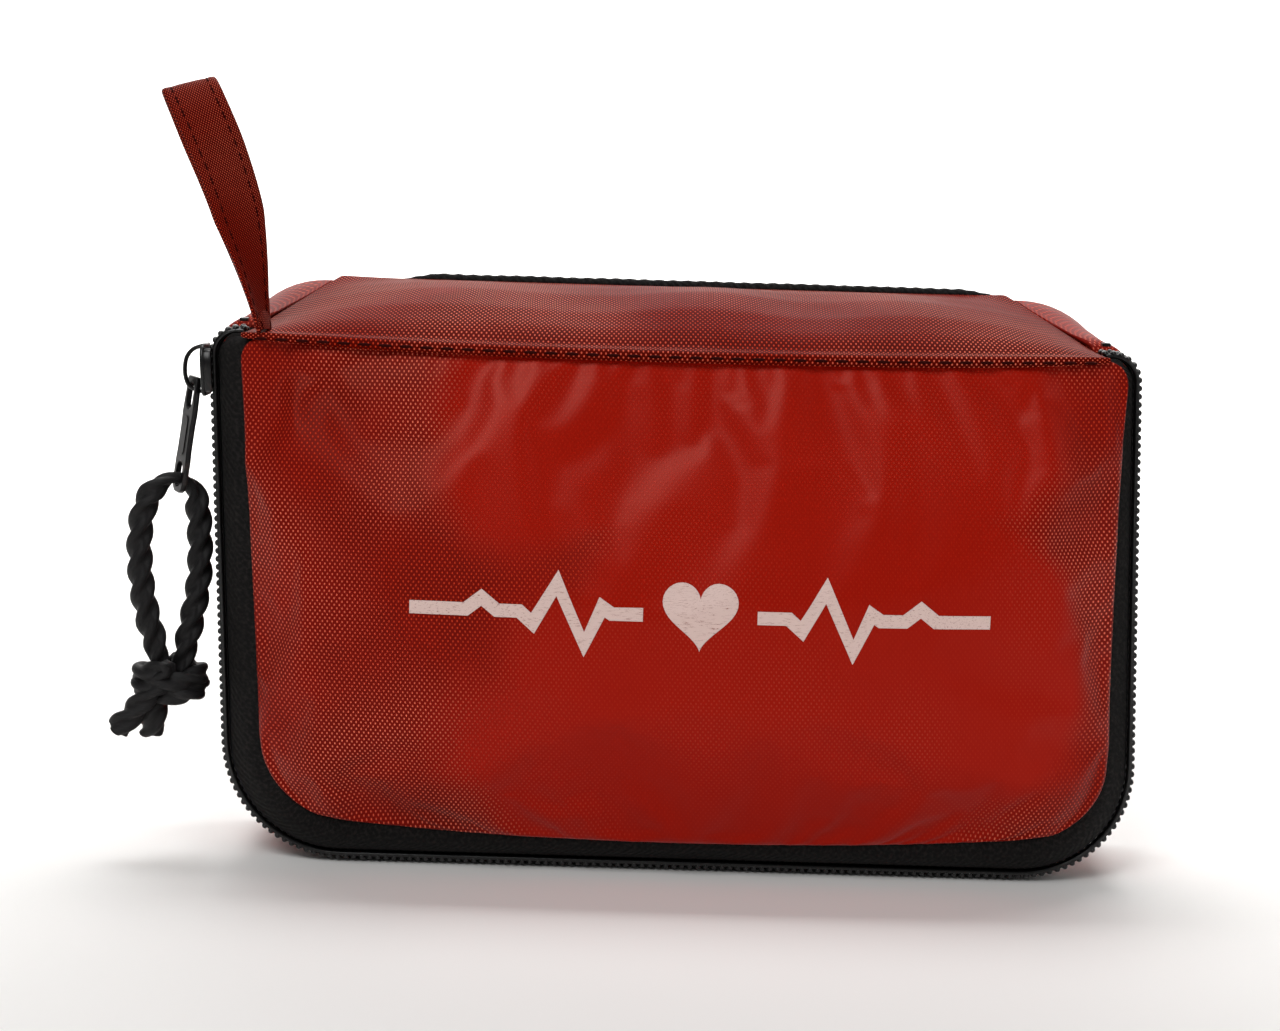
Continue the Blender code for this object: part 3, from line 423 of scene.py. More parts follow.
def cloth_grid(columns, rows):
    """Rows of points over the panel's outline, with the place of each on the flat cloth."""
    verts, flat = [], []
    for r in range(rows + 1):
        share = r / rows
        level = PANEL_LOW + (PANEL_TOP - PANEL_LOW) * (share - 0.035 * math.sin(2 * math.pi * share))
        half = panel_half_width(level)
        for c in range(columns + 1):
            u = 2 * c / columns - 1
            x = half * (u + 0.05 * math.sin(math.pi * u))
            x += (3.2 * share ** 1.5 * max(0.0, u) ** 3 + 2.2 * (1 - share) * max(0.0, -u) ** 3) * MM
            z = level - LIP_SAG * (1 - u * u) * share ** 3 + (1.0 + 2.8 * u * u) * (1 - share) ** 3 * MM
            sides = min(1.0, max(0.0, half + 2 * MM - abs(x)) / (16 * MM), (1 - abs(u)) * 5.2)
            below = min(1.0, (level - PANEL_LOW) / (15 * MM))
            above = min(1.0, (PANEL_TOP - level) / (24 * MM))
            rise = ((math.sin(sides * math.pi / 2) * math.sin(below * math.pi / 2)) ** 0.8
                    * math.sin(above * math.pi / 2))
            crown = 1 - 0.22 * (x / PANEL_HALF) ** 2 - 0.2 * ((z - 48 * MM) / (50 * MM)) ** 2
            verts.append(leaned(x, PANEL_EDGE_Y - PANEL_SWELL * rise * crown, z))
            flat.append((x, z))
    return verts, flat


def grid_faces(columns, rows):
    """Quads of a grid of points."""
    wide = columns + 1
    return [(r * wide + c, r * wide + c + 1, (r + 1) * wide + c + 1, (r + 1) * wide + c)
            for r in range(rows) for c in range(columns)]


columns, rows = 132, 78
verts, flat = cloth_grid(columns, rows)
panel = mesh_piece("front_panel_cloth", verts, grid_faces(columns, rows), front_oxford, flat)
edge_group = panel.vertex_groups.new(name="sewn_edge")
for index in range(len(verts)):
    r, c = divmod(index, columns + 1)
    if r in (0, rows) or c in (0, columns):
        edge_group.add([index], 1.0, "REPLACE")
start = [v.co.copy() for v in panel.data.vertices]
cloth = panel.modifiers.new("cloth", "CLOTH")
cloth.settings.quality = 6
cloth.settings.mass = 0.25
cloth.settings.tension_stiffness = 40
cloth.settings.compression_stiffness = 40
cloth.settings.shear_stiffness = 12
cloth.settings.bending_stiffness = 6.0
cloth.settings.shrink_min = -0.014
cloth.settings.vertex_group_mass = "sewn_edge"
cloth.settings.use_pressure = True
cloth.settings.uniform_pressure_force = 3.0
cloth.settings.effector_weights.gravity = 0.0
cloth.collision_settings.use_collision = False
cloth.point_cache.frame_start = 1
cloth.point_cache.frame_end = 30
scene = bpy.context.scene
for frame_number in range(1, 31):
    scene.frame_set(frame_number)
graph = bpy.context.evaluated_depsgraph_get()
settled = [v.co.copy() for v in panel.evaluated_get(graph).data.vertices]
panel.modifiers.clear()
scene.frame_set(1)
cap = 5.0 * MM
for vert, before, after in zip(panel.data.vertices, start, settled):
    move = after - before
    vert.co = before + move * min(1.0, cap / max(move.length, 1e-9))
panel.vertex_groups.clear()
front_face = BVHTree.FromPolygons([v.co.copy() for v in panel.data.vertices],
                                  [tuple(p.vertices) for p in panel.data.polygons])
thick = panel.modifiers.new("thickness", "SOLIDIFY")
thick.thickness = 0.6 * MM
thick.offset = -1.0
fine = panel.modifiers.new("fine", "SUBSURF")
fine.levels = 1
fine.render_levels = 1
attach(panel, "front_half")
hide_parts("front_panel")


# ---- The top gusset ---------------------------------------------------------------------------------------
# A strip of the same cloth across the top, sewn behind to the back panel's binding, which is the lid's hinge.
# In front it is folded back on itself into a lip, and one row of dark red lockstitch sews the lip to the panel.

GUSSET_FRONT_HALF = 81.7 * MM
GUSSET_REAR_HALF = 68.0 * MM
BACK_HEIGHT = 113.0 * MM
REAR_Y = 20.3 * MM


def gusset_point(u, share, drop=0.0):
    """A point of the gusset: u runs along the bag, and share from the lip to the fold behind."""
    y = PANEL_EDGE_Y + (REAR_Y - PANEL_EDGE_Y) * share
    behind = max(0.0, y + 3.1 * MM) / (REAR_Y + 3.1 * MM)
    half = GUSSET_FRONT_HALF + (GUSSET_REAR_HALF - GUSSET_FRONT_HALF) * behind
    end_z = 103.2 * MM + (BACK_HEIGHT - 103.2 * MM) * behind
    shares = (0.0, 0.06, 0.13, 0.32, 0.6, 0.8, 1.0)
    rises = (0.0, 0.2, 0.36, 0.64, 0.9, 1.0, 1.0)
    rise = float(np.interp(share, shares, rises))
    middle = 103.2 * MM - LIP_SAG * (1 - u * u) * (1 - share) ** 2 + (BACK_HEIGHT - 103.2 * MM) * rise
    slack = noise.noise(Vector((u * 3.2, share * 1.3, 4.0))) * 1.3 * MM * math.sin(math.pi * min(1.0, share))
    fold = 0.5 * MM * math.sin(u * 11 + share * 2.5) * math.sin(math.pi * min(1.0, share)) * (1 - abs(u) ** 3)
    fill = 1 - abs(u) ** 6
    return leaned(half * u, y, end_z * (1 - fill) + (middle + slack + fold) * fill - drop)


lip = [(-14.6, -1.6), (-16.4, -2.0), (-17.1, -1.9), (-17.4, -1.5), (-17.3, -0.8), (-16.9, 0.0), (-16.2, 0.5)]
across, along = 120, 26
verts, flat, lip_rows = [], [], len(lip)
for r in range(lip_rows + along + 1):
    for c in range(across + 1):
        u = 2 * c / across - 1
        if r < lip_rows:
            edge = gusset_point(u, 0.0)
            taper = 1 - 0.55 * abs(u) ** 8
            ripple = 0.25 * MM * noise.noise(Vector((u * 14, 0.0, 9.0)))
            place = edge + Vector((0.0, (lip[r][0] + 15.1) * MM * taper + ripple, lip[r][1] * MM * taper))
            verts.append(place)
            flat.append((place.x, lip[r][1] * MM))
        else:
            share = 1.035 * ((r - lip_rows + 0.6) / (along + 0.6)) ** 1.15
            place = gusset_point(u, share)
            verts.append(place)
            flat.append((place.x, 36 * MM * share + 1.5 * MM))
gusset = mesh_piece("top_gusset_cloth", verts, grid_faces(across, lip_rows + along), gusset_oxford_painted_darker, flat)
thick = gusset.modifiers.new("thickness", "SOLIDIFY")
thick.thickness = 0.6 * MM
thick.offset = -1.0
fine = gusset.modifiers.new("fine", "SUBSURF")
fine.levels = 1
fine.render_levels = 1
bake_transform(gusset)
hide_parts("top_gusset")


def strung_tree(name):
    """Geometry nodes that put one small piece at even steps along a line, turned to it and to its outside."""
    tree = bpy.data.node_groups.new(name, "GeometryNodeTree")
    tree.interface.new_socket("Geometry", in_out="INPUT", socket_type="NodeSocketGeometry")
    sockets = {}
    for title, kind in (("Piece", "NodeSocketObject"), ("Pitch", "NodeSocketFloat"), ("Shift", "NodeSocketFloat"),
                        ("Finish", "NodeSocketMaterial")):
        sockets[title] = tree.interface.new_socket(title, in_out="INPUT", socket_type=kind).identifier
    tree.interface.new_socket("Geometry", in_out="OUTPUT", socket_type="NodeSocketGeometry")
    given = tree.nodes.new("NodeGroupInput")
    line = add(tree, "GeometryNodeMeshToCurve", {"Mesh": given.outputs["Geometry"]})
    trimmed = add(tree, "GeometryNodeTrimCurve", {"Curve": line.outputs["Curve"]}, mode="LENGTH")
    measure = add(tree, "GeometryNodeCurveLength", {"Curve": line.outputs["Curve"]})
    trimmed.inputs[4].default_value = 0.0
    tree.links.new(given.outputs["Shift"], trimmed.inputs[4])
    tree.links.new(measure.outputs["Length"], trimmed.inputs[5])
    steps = add(tree, "GeometryNodeResampleCurve", {"Curve": trimmed.outputs["Curve"],
                                                    "Length": given.outputs["Pitch"]}, mode="LENGTH")
    tangent = tree.nodes.new("GeometryNodeInputTangent")
    outside = add(tree, "GeometryNodeInputNamedAttribute", {"Name": "out"}, data_type="FLOAT_VECTOR")
    ahead = add(tree, "FunctionNodeAlignRotationToVector", {"Vector": tangent.outputs["Tangent"]}, axis="X")
    turned = add(tree, "FunctionNodeAlignRotationToVector", {"Rotation": ahead.outputs["Rotation"],
                 "Vector": outside.outputs["Attribute"]}, axis="Z", pivot_axis="X")
    piece = add(tree, "GeometryNodeObjectInfo", {"Object": given.outputs["Piece"]})
    placed = add(tree, "GeometryNodeInstanceOnPoints", {"Points": steps.outputs["Curve"],
                 "Instance": piece.outputs["Geometry"], "Rotation": turned.outputs["Rotation"]})
    real = add(tree, "GeometryNodeRealizeInstances", {"Geometry": placed.outputs["Instances"]})
    painted = add(tree, "GeometryNodeSetMaterial", {"Geometry": real.outputs["Geometry"],
                                                    "Material": given.outputs["Finish"]})
    add(tree, "NodeGroupOutput", {"Geometry": painted.outputs["Geometry"]})
    return tree, sockets


strung, strung_sockets = strung_tree("strung_along")


def rounded_grain(name, half):
    """A rounded grain with the given half sizes, the shape of a stitch or a coil's turn."""
    bm = bmesh.new()
    bmesh.ops.create_uvsphere(bm, u_segments=8, v_segments=6, radius=1.0)
    bmesh.ops.rotate(bm, verts=bm.verts, matrix=Matrix.Rotation(math.pi / 2, 3, "Y"))
    bmesh.ops.scale(bm, vec=half, verts=bm.verts)
    mesh = bpy.data.meshes.new(name)
    bm.to_mesh(mesh)
    bm.free()
    obj = bpy.data.objects.new(name, mesh)
    bpy.context.scene.collection.objects.link(obj)
    return obj


def string_along(name, lines, grain, pitch, finish, shift=0.0):
    """One plain mesh of rounded grains, by their half sizes, repeated along lines of (place, outside) pairs."""
    piece = rounded_grain(name + "_grain", grain)
    verts, edges, outs = [], [], []
    for line in lines:
        first = len(verts)
        verts += [place for place, out in line]
        outs += [tuple(out) for place, out in line]
        edges += [(first + k, first + k + 1) for k in range(len(line) - 1)]
    base = bpy.data.meshes.new(name + "_line")
    base.from_pydata([tuple(v) for v in verts], edges, [])
    given = base.attributes.new("out", "FLOAT_VECTOR", "POINT")
    given.data.foreach_set("vector", [x for out in outs for x in out])
    obj = bpy.data.objects.new(name + "_line", base)
    bpy.context.scene.collection.objects.link(obj)
    nodes = obj.modifiers.new("strung", "NODES")
    nodes.node_group = strung
    nodes[strung_sockets["Piece"]] = piece
    nodes[strung_sockets["Pitch"]] = pitch
    nodes[strung_sockets["Shift"]] = shift
    nodes[strung_sockets["Finish"]] = finish
    graph = bpy.context.evaluated_depsgraph_get()
    made = bpy.data.meshes.new_from_object(obj.evaluated_get(graph))
    made.name = name
    made.polygons.foreach_set("use_smooth", [True] * len(made.polygons))
    bpy.data.objects.remove(obj)
    bpy.data.objects.remove(piece)
    strip = bpy.data.objects.new(name, made)
    bpy.context.scene.collection.objects.link(strip)
    return strip


red_thread, tree, shader = new_material("dark_red_polyester_thread")
# Twisted polyester thread a shade darker than the cloth, with a dull sheen
shader.inputs["Base Color"].default_value = linear("2E0503")
shader.inputs["Roughness"].default_value = 0.8
shader.inputs["Specular IOR Level"].default_value = 0.05

stitch_line = []
for c in range(3, across - 2):
    u = 2 * c / across - 1
    place = gusset_point(u, 0.0) + Vector((0.0, (-17.4 + 15.1) * MM, -0.9 * MM))
    stitch_line.append((place + Vector((0.0, 0.25 * MM * noise.noise(Vector((u * 14, 0.0, 9.0))), 0.0)),
                        Vector((0.0, -1.0, 0.15))))
lip_stitches = string_along("lip_stitches", [stitch_line], (1.3 * MM, 0.3 * MM, 0.28 * MM), 3.8 * MM, red_thread)
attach(lip_stitches, "front_half")


# ---- The zip ----------------------------------------------------------------------------------------------
# A nylon coil zip, taken to be a size 5, its coil on the outside.
# Each black woven tape is sewn to its half of the bag, and
# its coil is one thread wound into teeth and sewn on along the tape's inner edge.

HALF_WIDTH = 89.5 * MM
CHAIN_Y = -6.0 * MM


def outline(half, top, low, end, radius_high, radius_low):
    """The way down the left side, along the bottom and up the right, as (place, outward normal) pairs."""
    points = [Vector((-end, top)).lerp(Vector((-half + radius_high, top)), k / 4) for k in range(4)]
    corners = [((-half + radius_high, top - radius_high), radius_high, 90, (-half, low + radius_low), 26),
               ((-half + radius_low, low + radius_low), radius_low, 180, (half - radius_low, low), 40),
               ((half - radius_low, low + radius_low), radius_low, 270, (half, top - radius_high), 26),
               ((half - radius_high, top - radius_high), radius_high, 0, (end, top), 4)]
    for centre, radius, start, after, run in corners:
        for k in range(14):
            angle = math.radians(start + 90 * k / 14)
            points.append(Vector(centre) + radius * Vector((math.cos(angle), math.sin(angle))))
        corner = Vector(centre) + radius * Vector((math.cos(math.radians(start + 90)),
                                                   math.sin(math.radians(start + 90))))
        points += [corner.lerp(Vector(after), k / run) for k in range(run)]
    points.append(Vector((end, top)))
    pairs = []
    for i, place in enumerate(points):
        ahead = points[min(i + 1, len(points) - 1)] - points[max(i - 1, 0)]
        pairs.append((place, Vector((ahead.y, -ahead.x)).normalized()))
    return pairs


chain_line = outline(HALF_WIDTH, 104.5 * MM, 0.0, 82.0 * MM, 6 * MM, 23 * MM)
panel_line = outline(82.0 * MM, 102.6 * MM, 6.3 * MM, 76.0 * MM, 5 * MM, 17 * MM)
back_line = outline(HALF_WIDTH, 113.0 * MM, 0.0, 68.5 * MM, 20 * MM, 23 * MM)


def side_point(i, y, offset):
    """A point of the bag's side at depth y, offset outwards from the outline there, and the way out."""
    level, level_y = (panel_line, -15.2 * MM) if y < CHAIN_Y else (back_line, 20.6 * MM)
    share = max(0.0, abs(y - CHAIN_Y) - 2.9 * MM) / (abs(level_y - CHAIN_Y) - 2.9 * MM)
    normal = chain_line[i][1].lerp(level[i][1], share).normalized()
    place = chain_line[i][0].lerp(level[i][0], share) + normal * offset
    return leaned(place.x, y, place.y), Vector((normal.x, 0.0, normal.y))


def side_sweep(name, section, mat, lift=None):
    """Sweeps a closed section of (y, offset) pairs in mm round the sides, with its own flat lay."""
    count, stations = len(section), len(chain_line)
    girth = [0.0]
    for (a, b), (c, d) in zip(section, section[1:]):
        girth.append(girth[-1] + math.hypot(c - a, d - b) * MM)
    verts, uvs, gone, before = [], [], 0.0, None
    for i in range(stations):
        here = side_point(i, section[0][0] * MM, 0.0)[0]
        gone += (here - before).length if before else 0.0
        before = here
        for k, (y, offset) in enumerate(section):
            extra = lift(here, k) if lift else 0.0
            verts.append(side_point(i, y * MM, (offset + extra) * MM)[0])
            uvs.append((gone, girth[k]))
    faces = [tuple(range(count)), tuple(range((stations - 1) * count, stations * count))]
    for i in range(stations - 1):
        for k in range(count):
            low, high = i * count + k, i * count + (k + 1) % count
            faces.append((low, high, high + count, low + count))
    return faces_out(mesh_piece(name, verts, faces, mat, uvs))


def soft_edges(obj, width, angle=35.0):
    """Rounds a piece's sharp edges."""
    rounded = obj.modifiers.new("soft_edges", "BEVEL")
    rounded.width = width
    rounded.segments = 2
    rounded.limit_method = "ANGLE"
    rounded.angle_limit = math.radians(angle)
    return obj


tape_twill, tree, shader = new_material("black_woven_zip_tape")
# Dull black polyester: a faint herringbone of ribs along the tape and a little pale lint
lay = add(tree, "ShaderNodeUVMap", uv_map="lay")
ribs = add(tree, "ShaderNodeTexWave", {"Vector": lay.outputs["UV"], "Scale": 420.0, "Distortion": 0.6},
           wave_type="BANDS", bands_direction="DIAGONAL")
lint = add(tree, "ShaderNodeTexNoise", {"Vector": lay.outputs["UV"], "Scale": 1500.0, "Detail": 3.0})
shade = add(tree, "ShaderNodeValToRGB", {"Fac": lint.outputs["Fac"]})
shade.color_ramp.elements[0].position = 0.45
shade.color_ramp.elements[0].color = linear("080707")
shade.color_ramp.elements[1].position = 0.85
shade.color_ramp.elements[1].color = linear("2B2725")
tree.links.new(shade.outputs["Color"], shader.inputs["Base Color"])
relief = add(tree, "ShaderNodeBump", {"Height": ribs.outputs["Fac"], "Strength": 0.8, "Distance": 0.12 * MM})
tree.links.new(relief.outputs["Normal"], shader.inputs["Normal"])
shader.inputs["Roughness"].default_value = 0.85
shader.inputs["Specular IOR Level"].default_value = 0.18

coil_nylon, tree, shader = new_material("black_nylon_coil")
# Polished nylon thread: deep black with a small bright spark on every turn
shader.inputs["Base Color"].default_value = linear("0C0B0B")
shader.inputs["Roughness"].default_value = 0.28
shader.inputs["Specular IOR Level"].default_value = 0.5


def tape_sag(place, k):
    """The tape's slack between the panel and the coil, wavy along the bag."""
    return 0.55 * noise.noise(Vector((place.x * 38, place.z * 38, 2.0))) if k in (3, 4, 8) else 0.0


front_tape = side_sweep("front_tape_woven", [(-14.75, -6.0), (-14.6, -3.4), (-14.0, -1.6), (-12.2, -1.3),
                                             (-10.4, -1.8), (-8.9, -2.4),
                                             (-7.15, -2.5), (-7.15, -3.2), (-8.9, -3.2), (-11.0, -2.7),
                                             (-13.6, -2.1), (-14.1, -3.6), (-14.3, -6.0)], tape_twill, tape_sag)
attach(front_tape, "front_half")
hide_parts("front_tape")
back_tape = side_sweep("back_tape_woven", [(-4.85, -2.5), (-3.1, -2.5), (-1.7, -1.6), (-1.7, -2.35), (-3.1, -3.25),
                                           (-4.85, -3.25)], tape_twill)
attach(back_tape, "back_half")
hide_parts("back_tape")
for name, side, body, shift in (("front_coil", -1, "front_half", 0.3), ("back_coil", 1, "back_half", 1.085)):
    line = []
    for i in range(len(chain_line)):
        line.append(side_point(i, CHAIN_Y + side * 1.75 * MM, -0.85 * MM))
    turns = string_along(name + "_turns", [line], (0.66 * MM, 1.3 * MM, 0.66 * MM), 1.57 * MM, coil_nylon, shift * MM)
    core = side_sweep(name + "_core", [(-6 + side * 1.2, -1.75), (-6 + side * 2.7, -1.75), (-6 + side * 2.8, -1.0),
                                       (-6 + side * 2.0, -0.75), (-6 + side * 1.15, -1.0)], coil_nylon)
    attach(turns, body)
    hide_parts(name)
    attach(core, body)


# ---- The side wall, the back panel and its binding --------------------------------------------------------
# The back half is a flat tray of the same red cloth: a gusset wall round three sides and a plain back panel,
# joined along the top by a narrow black binding with a stitched, slightly wavy edge.

def wall_slack(place, k):
    """How far the soft wall sinks or swells at a place, more in the middle of its width."""
    return -0.8 + 0.8 * noise.noise(Vector((place.x * 26, place.z * 26, 7.0))) if k in (3, 4, 5) else 0.0


side_wall = side_sweep("side_wall_cloth", [(-1.4, -1.6), (-0.9, -0.5), (0.4, -0.1), (4.5, 0.0), (10.0, 0.0), (15.5, 0.0),
                                           (19.6, -0.3), (20.6, -0.8), (20.6, -1.6), (10.0, -1.6), (0.4, -1.1),
                                           (-1.4, -2.4)], red_oxford,
                       lambda place, k: wall_slack(place, k) if place.z > 6 * MM else 0.0)
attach(side_wall, "back_half")
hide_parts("side_wall")

columns, rows = 90, 56
verts, flat = [], []
for r in range(rows + 1):
    z = 1.0 * MM + 111.1 * MM * r / rows
    half = 88.6 * MM
    if z < 23 * MM:
        half -= 22 * MM - math.sqrt(max(0.0, (22 * MM) ** 2 - (23 * MM - z) ** 2))
    if z > 93 * MM:
        half -= 19.2 * MM - math.sqrt(max(0.0, (19.2 * MM) ** 2 - (z - 93 * MM) ** 2))
    for c in range(columns + 1):
        u = 2 * c / columns - 1
        edge = min(1.0, (1 - abs(u)) * 9, r / 5, (rows - r) / 5)
        swell = 0.35 * edge + 0.7 * edge * noise.noise(Vector((u * 2.6, z * 22, 3.0)))
        verts.append(leaned(half * u, (21.75 + swell) * MM, z))
        flat.append((half * u, z))
back_panel = mesh_piece("back_panel_cloth", verts, grid_faces(columns, rows), red_oxford, flat)
thick = back_panel.modifiers.new("thickness", "SOLIDIFY")
thick.thickness = 0.7 * MM
thick.offset = 1.0
back_panel = faces_out(back_panel)
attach(back_panel, "back_half")
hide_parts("back_panel")

section = [(20.9, 111.6), (20.75, 113.0), (21.0, 113.9), (21.9, 114.25), (22.7, 113.8), (22.9, 113.0), (22.7, 111.6)]
stations = 160
verts, uvs = [], []
for i in range(stations + 1):
    x = (-58 + 127 * i / stations) * MM
    ripple = 0.1 * math.cos(2 * math.pi * x / (2.9 * MM)) + 0.25 * noise.noise(Vector((x * 60, 1.0, 5.0)))
    taper = min(1.0, 12 * (min(i, stations - i) + 0.5) / stations) ** 0.6
    for k, (y, z) in enumerate(section):
        lift = ripple if 1 <= k <= 4 else 0.0
        verts.append(leaned(x, y * MM, (111.6 + (z + lift - 111.6) * taper) * MM))
        uvs.append((x, k * 0.8 * MM))
count = len(section)
faces = [tuple(range(count)), tuple(range(stations * count, (stations + 1) * count))]
faces += [(i * count + k, i * count + (k + 1) % count, (i + 1) * count + (k + 1) % count, (i + 1) * count + k)
          for i in range(stations) for k in range(count)]
binding = faces_out(mesh_piece("top_binding_woven", verts, faces, tape_twill, uvs))
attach(binding, "back_half")
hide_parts("top_binding")


# ---- The printed device -----------------------------------------------------------------------------------
# One flat colour of white screen ink on the front panel: a heart in a pulse line, plain and generic. It is a
# few hundredths of a millimetre thick, follows the cloth, and has worn off in flecks on the high yarns.

PRINT_Z = 54.0 * MM
STROKE = 2.5 * MM

white_ink, tree, shader = new_material("worn_white_screen_ink")
# Matt ink gone slightly pink, with dark flecks where it has rubbed off the tops of the yarns
flecks = add(tree, "ShaderNodeTexNoise", {"Scale": 1100.0, "Detail": 4.0, "Roughness": 0.7})
areas = add(tree, "ShaderNodeTexNoise", {"Scale": 70.0, "Detail": 2.0})
both = add(tree, "ShaderNodeMath", {0: flecks.outputs["Fac"], 1: areas.outputs["Fac"]}, operation="MULTIPLY")
worn = add(tree, "ShaderNodeMapRange", {"Value": both.outputs[0], "From Min": 0.325, "From Max": 0.38})
colour = add(tree, "ShaderNodeMix", {"Factor": worn.outputs[0], "A": linear("DFC3BB"), "B": linear("8A3A2C")},
             data_type="RGBA")
tree.links.new(colour.outputs["Result"], shader.inputs["Base Color"])
shader.inputs["Roughness"].default_value = 0.55
lines = ((-50.0, 0.0), (-39.5, 0.0), (-36.6, 2.3), (-33.7, 0.0), (-29.5, 0.0), (-27.0, -2.2), (-22.6, 5.4),
         (-17.4, -5.9), (-14.2, 1.2), (-12.4, 0.0), (-6.6, 0.0)), \
        ((14.6, 0.0), (20.4, 0.0), (22.9, -2.2), (27.3, 5.4), (32.5, -5.9), (35.7, 1.2), (37.5, 0.0),
         (42.0, 0.0), (44.9, 2.3), (47.8, 0.0), (58.0, 0.0))


def on_panel(x, z, proud):
    """The point of the panel's face that lies straight behind a place on the front."""
    hit, normal, index = front_face.ray_cast(Vector((x, -0.06, z)), Vector((0.0, 1.0, 0.0)))[:3]
    normal = normal if normal.y < 0 else -normal
    return hit + normal * proud


print_verts, print_faces = [], []
for line in lines:
    points = [Vector(p) * MM for p in line]
    stations = []
    for k, place in enumerate(points):
        before = (place - points[k - 1]).normalized() if k else (points[1] - place).normalized()
        after = (points[k + 1] - place).normalized() if k + 1 < len(points) else before
        mitre = (Vector((-before.y, before.x)) + Vector((-after.y, after.x))).normalized()
        mitre *= min(1.9, 1 / max(0.3, mitre.dot(Vector((-after.y, after.x))))) * STROKE / 2
        stations.append((place, mitre))
    rows = []
    for (a, side_a), (b, side_b) in zip(stations, stations[1:]):
        count = max(2, round((b - a).length / (0.8 * MM)))
        rows += [(a.lerp(b, k / count), side_a.lerp(side_b, k / count)) for k in range(count)]
    rows.append(stations[-1])
    first = len(print_verts)
    for place, side in rows:
        for share in (-1.0, -0.5, 0.0, 0.5, 1.0):
            spot = place + side * share
            print_verts.append(on_panel(spot.x, PRINT_Z + spot.y, 0.1 * MM))
    print_faces += [(first + 5 * r + k, first + 5 * r + k + 1, first + 5 * r + k + 6, first + 5 * r + k + 5)
                    for r in range(len(rows) - 1) for k in range(4)]
first, heart_steps, heart_rings = len(print_verts), 56, 9
for ring in range(heart_rings + 1):
    for k in range(heart_steps):
        t = 2 * math.pi * k / heart_steps
        x = 16 * math.sin(t) ** 3
        z = 13 * math.cos(t) - 5 * math.cos(2 * t) - 2 * math.cos(3 * t) - math.cos(4 * t) + 2.5
        grow = 0.44 * MM * max(0.02, ring / heart_rings)
        print_verts.append(on_panel(4.0 * MM + x * grow, PRINT_Z - 0.3 * MM + z * grow, 0.1 * MM))
for ring in range(heart_rings):
    for k in range(heart_steps):
        a, b = first + ring * heart_steps + k, first + ring * heart_steps + (k + 1) % heart_steps
        print_faces.append((a, b, b + heart_steps, a + heart_steps))
print_faces.append(tuple(range(first, first + heart_steps)))
device = mesh_piece("printed_heart_and_pulse_line", print_verts, print_faces, white_ink)
bm = bmesh.new()
bm.from_mesh(device.data)
for face in bm.faces:
    face.normal_update()
    if face.normal.y > 0:
        face.normal_flip()
bm.to_mesh(device.data)
bm.free()
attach(device, "front_half")


# ---- The slider, its arch and the pull --------------------------------------------------------------------
# Die-cast zinc with a black electrophoretic coat: the slider runs on the coil, and the flat pull hangs from a
# thin arch on its face. The pull is stamped, with a round end, two long slots and a worn, brownish middle rib.

zinc_black, tree, shader = new_material("black_coated_zinc")
# Smooth black lacquer on metal, rubbed through to a warm brown on the ribs and corners
rubbed = add(tree, "ShaderNodeTexNoise", {"Scale": 420.0, "Detail": 5.0})
wear = add(tree, "ShaderNodeMapRange", {"Value": rubbed.outputs["Fac"], "From Min": 0.58, "From Max": 0.74})
colour = add(tree, "ShaderNodeMix", {"Factor": wear.outputs[0], "A": linear("0D0C0D"), "B": linear("4A3A34")},
             data_type="RGBA")
tree.links.new(colour.outputs["Result"], shader.inputs["Base Color"])
shader.inputs["Metallic"].default_value = 0.35
rough = add(tree, "ShaderNodeMapRange", {"Value": rubbed.outputs["Fac"], "To Min": 0.2, "To Max": 0.42})
tree.links.new(rough.outputs[0], shader.inputs["Roughness"])

slide_up = Vector((-LEAN, 0.0, 1.0)).normalized()
slide_depth = Vector((0.0, -1.0, 0.0))
slide_out = slide_depth.cross(slide_up)
slide_frame = Matrix.Translation(leaned(-HALF_WIDTH, CHAIN_Y, 95.5 * MM)) @ Matrix(
    (slide_out, slide_depth, slide_up)).transposed().to_4x4()


def extruded(name, rings, low, high, mat, frame_matrix, rounding):
    """A plate from its outer outline and its holes, all (a, b) points in mm, with rounded edges."""
    curve = bpy.data.curves.new(name, "CURVE")
    curve.dimensions = "2D"
    curve.fill_mode = "BOTH"
    curve.extrude = (high - low) / 2 * MM - rounding * MM
    curve.bevel_depth = rounding * MM
    curve.bevel_resolution = 2
    curve.offset = -rounding * MM
    for ring in rings:
        spline = curve.splines.new("POLY")
        spline.points.add(len(ring) - 1)
        for point, (a, b) in zip(spline.points, ring):
            point.co = (a * MM, b * MM, 0.0, 1.0)
        spline.use_cyclic_u = True
    source = bpy.data.objects.new(name, curve)
    bpy.context.scene.collection.objects.link(source)
    mesh = bpy.data.meshes.new_from_object(source.evaluated_get(bpy.context.evaluated_depsgraph_get()))
    bpy.data.objects.remove(source)
    mesh.transform(frame_matrix @ Matrix.Translation((0.0, 0.0, (low + high) / 2 * MM)))
    mesh.name = name
    mesh.materials.clear()
    mesh.materials.append(mat)
    made = bpy.data.objects.new(name, mesh)
    bpy.context.scene.collection.objects.link(made)
    bm = bmesh.new()
    bm.from_mesh(mesh)
    bmesh.ops.remove_doubles(bm, verts=bm.verts, dist=1e-6)
    bmesh.ops.recalc_face_normals(bm, faces=bm.faces)
    bm.to_mesh(mesh)
    bm.free()
    return made


def stadium(half_wide, low, high, steps=8):
    """A long slot's outline with round ends."""
    ring = [(half_wide * math.cos(math.pi * k / steps), high - half_wide + half_wide * math.sin(math.pi * k / steps))
            for k in range(steps + 1)]
    ring += [(-half_wide * math.cos(math.pi * k / steps), low + half_wide - half_wide * math.sin(math.pi * k / steps))
             for k in range(steps + 1)]
    return ring


